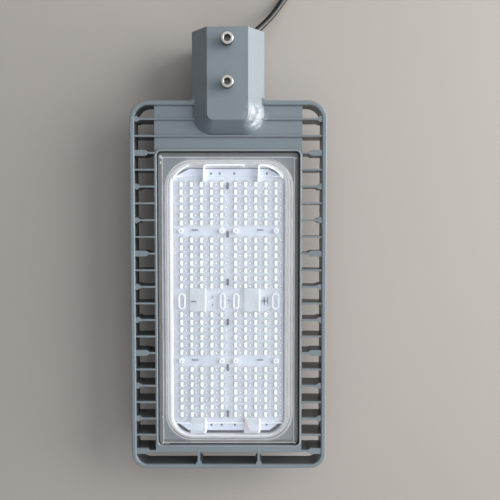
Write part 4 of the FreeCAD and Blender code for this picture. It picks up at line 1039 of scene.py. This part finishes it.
# White ring round the boards: half width, head, foot and height of each loop
RING_PROFILE = [
    (67.9, 100.3, -204.3, 47.05), (67.9, 100.3, -204.3, 51.6), (67.5, 98.6, -203.6, 51.6),
    (67.2, 97.4, -203.1, 53.3), (66.8, 97.2, -202.9, 53.6), (64.8, 96.4, -202.2, 53.6),
    (64.5, 96.2, -202.1, 52.6), (63.9, 95.9, -201.8, 52.6), (63.6, 95.7, -201.6, 54.0),
    (62.4, 95.3, -200.9, 53.85), (61.3, 94.8, -200.1, 53.4), (60.8, 93.9, -199.7, 52.3),
    (60.4, 92.6, -199.5, 50.4), (60.2, 91.3, -199.4, 48.3), (60.2, 91.3, -199.4, 47.05),
]
RING_R = 28.9
RING_SHRINK_HEAD, RING_SHRINK_FOOT = 1.32, 1.15


def build_seal(work):
    outer = RING_PROFILE[0][0]
    loops = []
    for side, head, foot, z in RING_PROFILE:
        r_head = RING_R - RING_SHRINK_HEAD * (outer - side)
        r_foot = RING_R - RING_SHRINK_FOOT * (outer - side)
        loops.append(rounded_loop(side, foot, head, r_foot, r_head, z))
    stack(work, loops, closed=True)


# Clear cover: flange with a square ridge, rounded step and raised panel; grey and bright haze bands
# on the ridge and step are painted reflections and refraction lines.
# Half width, foot, head and corner radius of each outline; inset, height and material of each loop.
WINDOW = (77.0, -210.0, 109.0, 5.0)
RIDGE = (71.3, -207.3, 102.5, 2.0)
STEP = (70.2, -205.7, 100.9, 31.0)
CLEAR, MARGIN, STEPPED, LINE = range(4)
COVER_OUTSIDE = [
    (WINDOW, 1.75, 54.02, MARGIN), (WINDOW, 1.75, 56.5, MARGIN), (WINDOW, 2.2, 56.98, MARGIN),
    (RIDGE, 0.0, 56.98, LINE), (RIDGE, 0.1, 57.4, LINE), (RIDGE, 0.7, 57.4, LINE),
    (RIDGE, 0.8, 56.98, MARGIN), (STEP, 0.0, 57.0, STEPPED), (STEP, 0.4, 57.2, STEPPED),
    (STEP, 1.0, 58.6, STEPPED), (STEP, 1.8, 59.2, STEPPED), (STEP, 2.5, 59.45, LINE),
    (STEP, 2.9, 59.48, STEPPED), (STEP, 3.2, 59.0, STEPPED), (STEP, 3.7, 59.0, CLEAR),
    (STEP, 4.0, 59.48, CLEAR), (STEP, 7.0, 59.48, CLEAR), (STEP, 7.3, 59.25, CLEAR),
    (STEP, 7.8, 59.25, CLEAR), (STEP, 8.1, 59.48, CLEAR), (STEP, 12.0, 59.5, CLEAR),
]
COVER_INSIDE = [(STEP, 3.0, 56.5), (STEP, 2.2, 56.2), (STEP, 2.0, 54.02)]
# Bright domes on the flange, painted highlights: place and half axes
COVER_GLINTS = [
    (-72.6, 102.6, 1.5, 1.9), (-70.2, 101.0, 0.9, 0.8), (-72.4, 96.5, 0.8, 1.6),
    (-71.8, -207.9, 1.3, 1.1), (-68.0, -208.3, 1.0, 0.8), (-65.5, -208.1, 0.6, 0.9),
    (72.2, 101.4, 0.8, 0.9), (71.8, -207.6, 1.1, 0.9), (-72.0, -179.0, 0.7, 0.9),
]


def inset_loop(outline, inset, z):
    half, foot, head, r = outline
    r = max(r - inset, 1.0)
    return rounded_loop(half - inset, foot + inset, head - inset, r, r, z)


def build_cover(work):
    outer = [loop_at(work, inset_loop(*row[:3])) for row in COVER_OUTSIDE]
    inner = [loop_at(work, inset_loop(*row)) for row in COVER_INSIDE]
    for (first, second), row in zip(zip(outer, outer[1:]), COVER_OUTSIDE):
        bridge(work, first, second, row[3])
    for first, second in zip(inner, inner[1:]):
        bridge(work, first, second, CLEAR)
    bridge(work, inner[-1], outer[0], MARGIN)
    work.faces.new(inner[0])
    work.faces.new(outer[-1])


def build_cover_glints(work):
    for x, y, a, b in COVER_GLINTS:
        oval_dome(work, x, y, 56.9, a, b, 0.45, 3, 12)


for end, row_y in zip(("upper", "lower"), HOLE_ROWS_Y):
    add_look(f"led_packages_{end}", build_packages(row_y), [phosphor_painted_glow],
             [f"led_chips_{end}"], 60.0)
    add_look(f"led_shade_rings_{end}", build_halos(row_y), [halo_painted_shade])
add_look("board_face_upper", build_upper_board, [solder_mask], ["led_board_upper"])
add_look("board_face_lower", build_lower_board, [solder_mask], ["led_board_lower"])
add_look("board_foot_shade_sheet", build_foot_shade_sheet, [foot_shade_sheet])
add_look("lens_plate_clear", build_lens, [lens_clear],
         ["lens_plate_upper", "lens_plate_lower"], 50.0)
add_look("lens_domes", build_domes, [lens_dome], smooth_deg=60.0)
add_look("lens_painted_glints", build_lens_glints, [bright_edge], smooth_deg=60.0)
add_look("lens_keys", build_keys, [clip_grey], ["lens_clips"])
add_look("lens_hoods_upper", build_hoods(*UPPER_HOOD_Y), [frosted], smooth_deg=50.0)
add_look("lens_hoods_lower", build_hoods(*LOWER_HOOD_Y), [frosted], smooth_deg=50.0)
add_look("lens_pad_rings", build_pad_rings, [bright_edge], smooth_deg=50.0)
add_look("lens_ribs_upper", build_ribs_upper, [rib_edge], smooth_deg=60.0)
add_look("lens_ribs_lower", build_ribs_lower, [rib_edge], smooth_deg=60.0)
add_look("lens_screw_heads", build_screws, [bright_screw], ["lens_screws"], 40.0)
add_look("lens_screw_recess_shade", build_screw_recess_shade, [silk_grey], smooth_deg=60.0)
add_look("board_marks", build_marks, [silk_grey])
add_look("seal_ring", build_seal, [silicone], ["cover_seal"], 40.0)
add_look("window_cover", build_cover, [cover_clear, cover_margin, cover_step, cover_line],
         ["optical_cover"], 40.0)
add_look("cover_painted_glints", build_cover_glints, [cover_line], smooth_deg=60.0)


# Lip round the window, the casting's raised edge, in a lighter coat colour as a painted highlight:
# how far out from the window, and height
LIP_PROFILE = [(-0.5, 59.0), (-0.5, 60.0), (-0.2, 60.25), (0.8, 60.25), (1.2, 60.0), (1.2, 59.0)]


def build_lip(work):
    stack(work, [inset_loop(WINDOW, -out, z) for out, z in LIP_PROFILE], closed=True)


add_look("window_lip_edge", build_lip, [lip_painted_highlight], smooth_deg=60.0)


# Fillets where the socket leaves the rail, height and radius of each loop
RAIL_HEAD_Y = 162.0
FILLET_LEVELS = [(35.5, 5.0), (57.5, 5.0), (60.3, 5.0), (60.9, 4.4)]
FILLET_STEPS = 8
SOCKET_SIDE_X = 38.5
SLANT_FROM_Z = 57.5
SLANT_RUN = 0.877
ROOT_IN, ROOT_BACK = 1.5, 1.0


def fillet_loop(side, z, r):
    wall = SOCKET_SIDE_X - max(0.0, z - SLANT_FROM_Z) * SLANT_RUN
    points = [(wall - ROOT_IN, RAIL_HEAD_Y - ROOT_BACK, z), (wall + r, RAIL_HEAD_Y - ROOT_BACK, z)]
    points += arc_points(wall + r, RAIL_HEAD_Y + r, r, 270.0, 180.0, z, FILLET_STEPS)
    points.append((wall - ROOT_IN, RAIL_HEAD_Y + r, z))
    return [(side * x, y, z) for x, y, z in points]


def build_fillets(work):
    for side in (-1, 1):
        capped_stack(work, [fillet_loop(side, z, r) for z, r in FILLET_LEVELS])


add_look("socket_fillets", build_fillets, [powder_coat], smooth_deg=40.0)


# Red link wire under the lower hood
LINK_ROUTE = [
    (16.9, -183.0, 52.3), (18.2, -186.5, 52.5), (19.6, -191.0, 52.5), (22.8, -195.4, 52.3)
]


def build_link(work):
    tube_along(work, LINK_ROUTE, 1.0)


add_look("link_wire", build_link, [red], ["series_link"], 60.0)


# Clamp screws: knurled heads with a hexagon socket; radius, height and material of each loop,
# material 1 being the steel's painted shade
SCREW_AROUND = 96
SCREW_PROFILE = [
    (4.0, 69.75, 0), (4.0, 81.0, 1), (6.2, 81.0, 1), (6.5, 81.4, 1), (6.5, 87.9, 0),
    (6.25, 88.6, 0), (5.8, 88.95, 0), (5.3, 89.0, 0), (3.8, 89.0, 0), (3.55, 88.8, 1),
]
KNURLED = (81.4, 87.9)
KNURL_DEPTH = 0.3
HEX_HALF = 3.0
HEX_LEVELS = (88.4, 84.5)


def around_screw(y, radius_at, z):
    points = []
    for k in range(SCREW_AROUND):
        a = 2 * pi * k / SCREW_AROUND
        r = radius_at(k, a)
        points.append((r * cos(a), y + r * sin(a), z))
    return points


def build_clamp(y):
    def knurl(r, z):
        cut = KNURL_DEPTH if z in KNURLED else 0.0
        return around_screw(y, lambda k, a: r - cut * (k % 2), z)

    def hexagon(z):
        return around_screw(y, lambda k, a: HEX_HALF / cos((a + pi / 6) % (pi / 3) - pi / 6), z)

    def build(work):
        rings = [(loop_at(work, knurl(r, z)), index) for r, z, index in SCREW_PROFILE]
        rings += [(loop_at(work, hexagon(z)), 1) for z in HEX_LEVELS]
        for (first, index), (second, _) in zip(rings, rings[1:]):
            bridge(work, first, second, index)
        work.faces.new(rings[0][0])
        work.faces.new(rings[-1][0]).material_index = 1

    return build


for end in ("outer", "inner"):
    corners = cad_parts[f"clamp_screw_{end}"].bound_box
    middle_y = sum(corner[1] for corner in corners) / len(corners) / MM
    add_look(f"clamp_screw_head_{end}", build_clamp(middle_y), [screw_ring, steel_painted_shade],
             [f"clamp_screw_{end}"], 30.0)


# Floor and light
FLOOR_HALF, FLOOR_Z = 6.0, -0.0005
LAMPS = [
    # name, place, height aimed at, width, depth, power, colour
    ("key", (1.5, 0.4, 0.95), 0.04, 1.5, 1.25, 34.0, (1.0, 0.995, 0.985)),
    ("side", (7.7, 1.05, 0.82), 0.05, 7.0, 1.5, 450.0, (1.0, 1.0, 1.0)),
    ("top", (0.25, 1.2, 1.6), 0.04, 1.4, 0.9, 4.5, (0.97, 0.985, 1.0)),
    ("foot", (0.25, -1.1, 1.6), 0.04, 1.4, 0.9, 4.0, (0.97, 0.985, 1.0)),
]
SKY_COLOUR = (0.93, 0.965, 1.0)
SKY_BASE, SKY_UP, SKY_RIGHT = 0.14, 0.37, 0.115


def flat_stage(name, size, height, material):
    mesh = bpy.data.meshes.new(name)
    work = bmesh.new()
    corners = ((-size, -size), (size, -size), (size, size), (-size, size))
    work.faces.new([work.verts.new((x, y, height)) for x, y in corners])
    work.to_mesh(mesh)
    work.free()
    mesh.materials.append(material)
    piece = bpy.data.objects.new(name, mesh)
    bpy.context.collection.objects.link(piece)


def area_light(name, place, aim_z, size, size_y, power, colour):
    light = bpy.data.lights.new(name, "AREA")
    light.shape = "RECTANGLE"
    light.size = size
    light.size_y = size_y
    light.energy = power
    light.color = colour
    lamp = bpy.data.objects.new(name, light)
    lamp.location = place
    aim = Vector((0.0, 0.0, aim_z)) - Vector(place)
    lamp.rotation_euler = aim.to_track_quat("-Z", "Y").to_euler()
    bpy.context.collection.objects.link(lamp)


def studio_world():
    """Soft surroundings, brighter upwards and to the right."""
    world = bpy.data.worlds.new("studio")
    world.use_nodes = True
    tree = Tree(world.node_tree)
    place = tree.add("ShaderNodeTexCoord").outputs["Generated"]
    axes = tree.add("ShaderNodeSeparateXYZ", {0: place})
    upward = tree.calc("MULTIPLY_ADD", axes.outputs["Z"], SKY_UP, SKY_BASE)
    strength = tree.calc("MULTIPLY_ADD", axes.outputs["X"], SKY_RIGHT, upward, clamp=True)
    backdrop = tree.nodes["Background"]
    tree.feed(backdrop.inputs["Color"], (*SKY_COLOUR, 1.0))
    tree.feed(backdrop.inputs["Strength"], strength)
    return world


floor_material = surface(
    "floor_pale", (0.42, 0.385, 0.355), rough=0.7, rough_spread=0.05, grain=120.0, bump=0.03,
    variation=0.02, patches=3.0,
)
flat_stage("floor", FLOOR_HALF, FLOOR_Z, floor_material)
for lamp_row in LAMPS:
    area_light(*lamp_row)
bpy.context.scene.world = studio_world()
bpy.context.scene.view_settings.view_transform = "Standard"
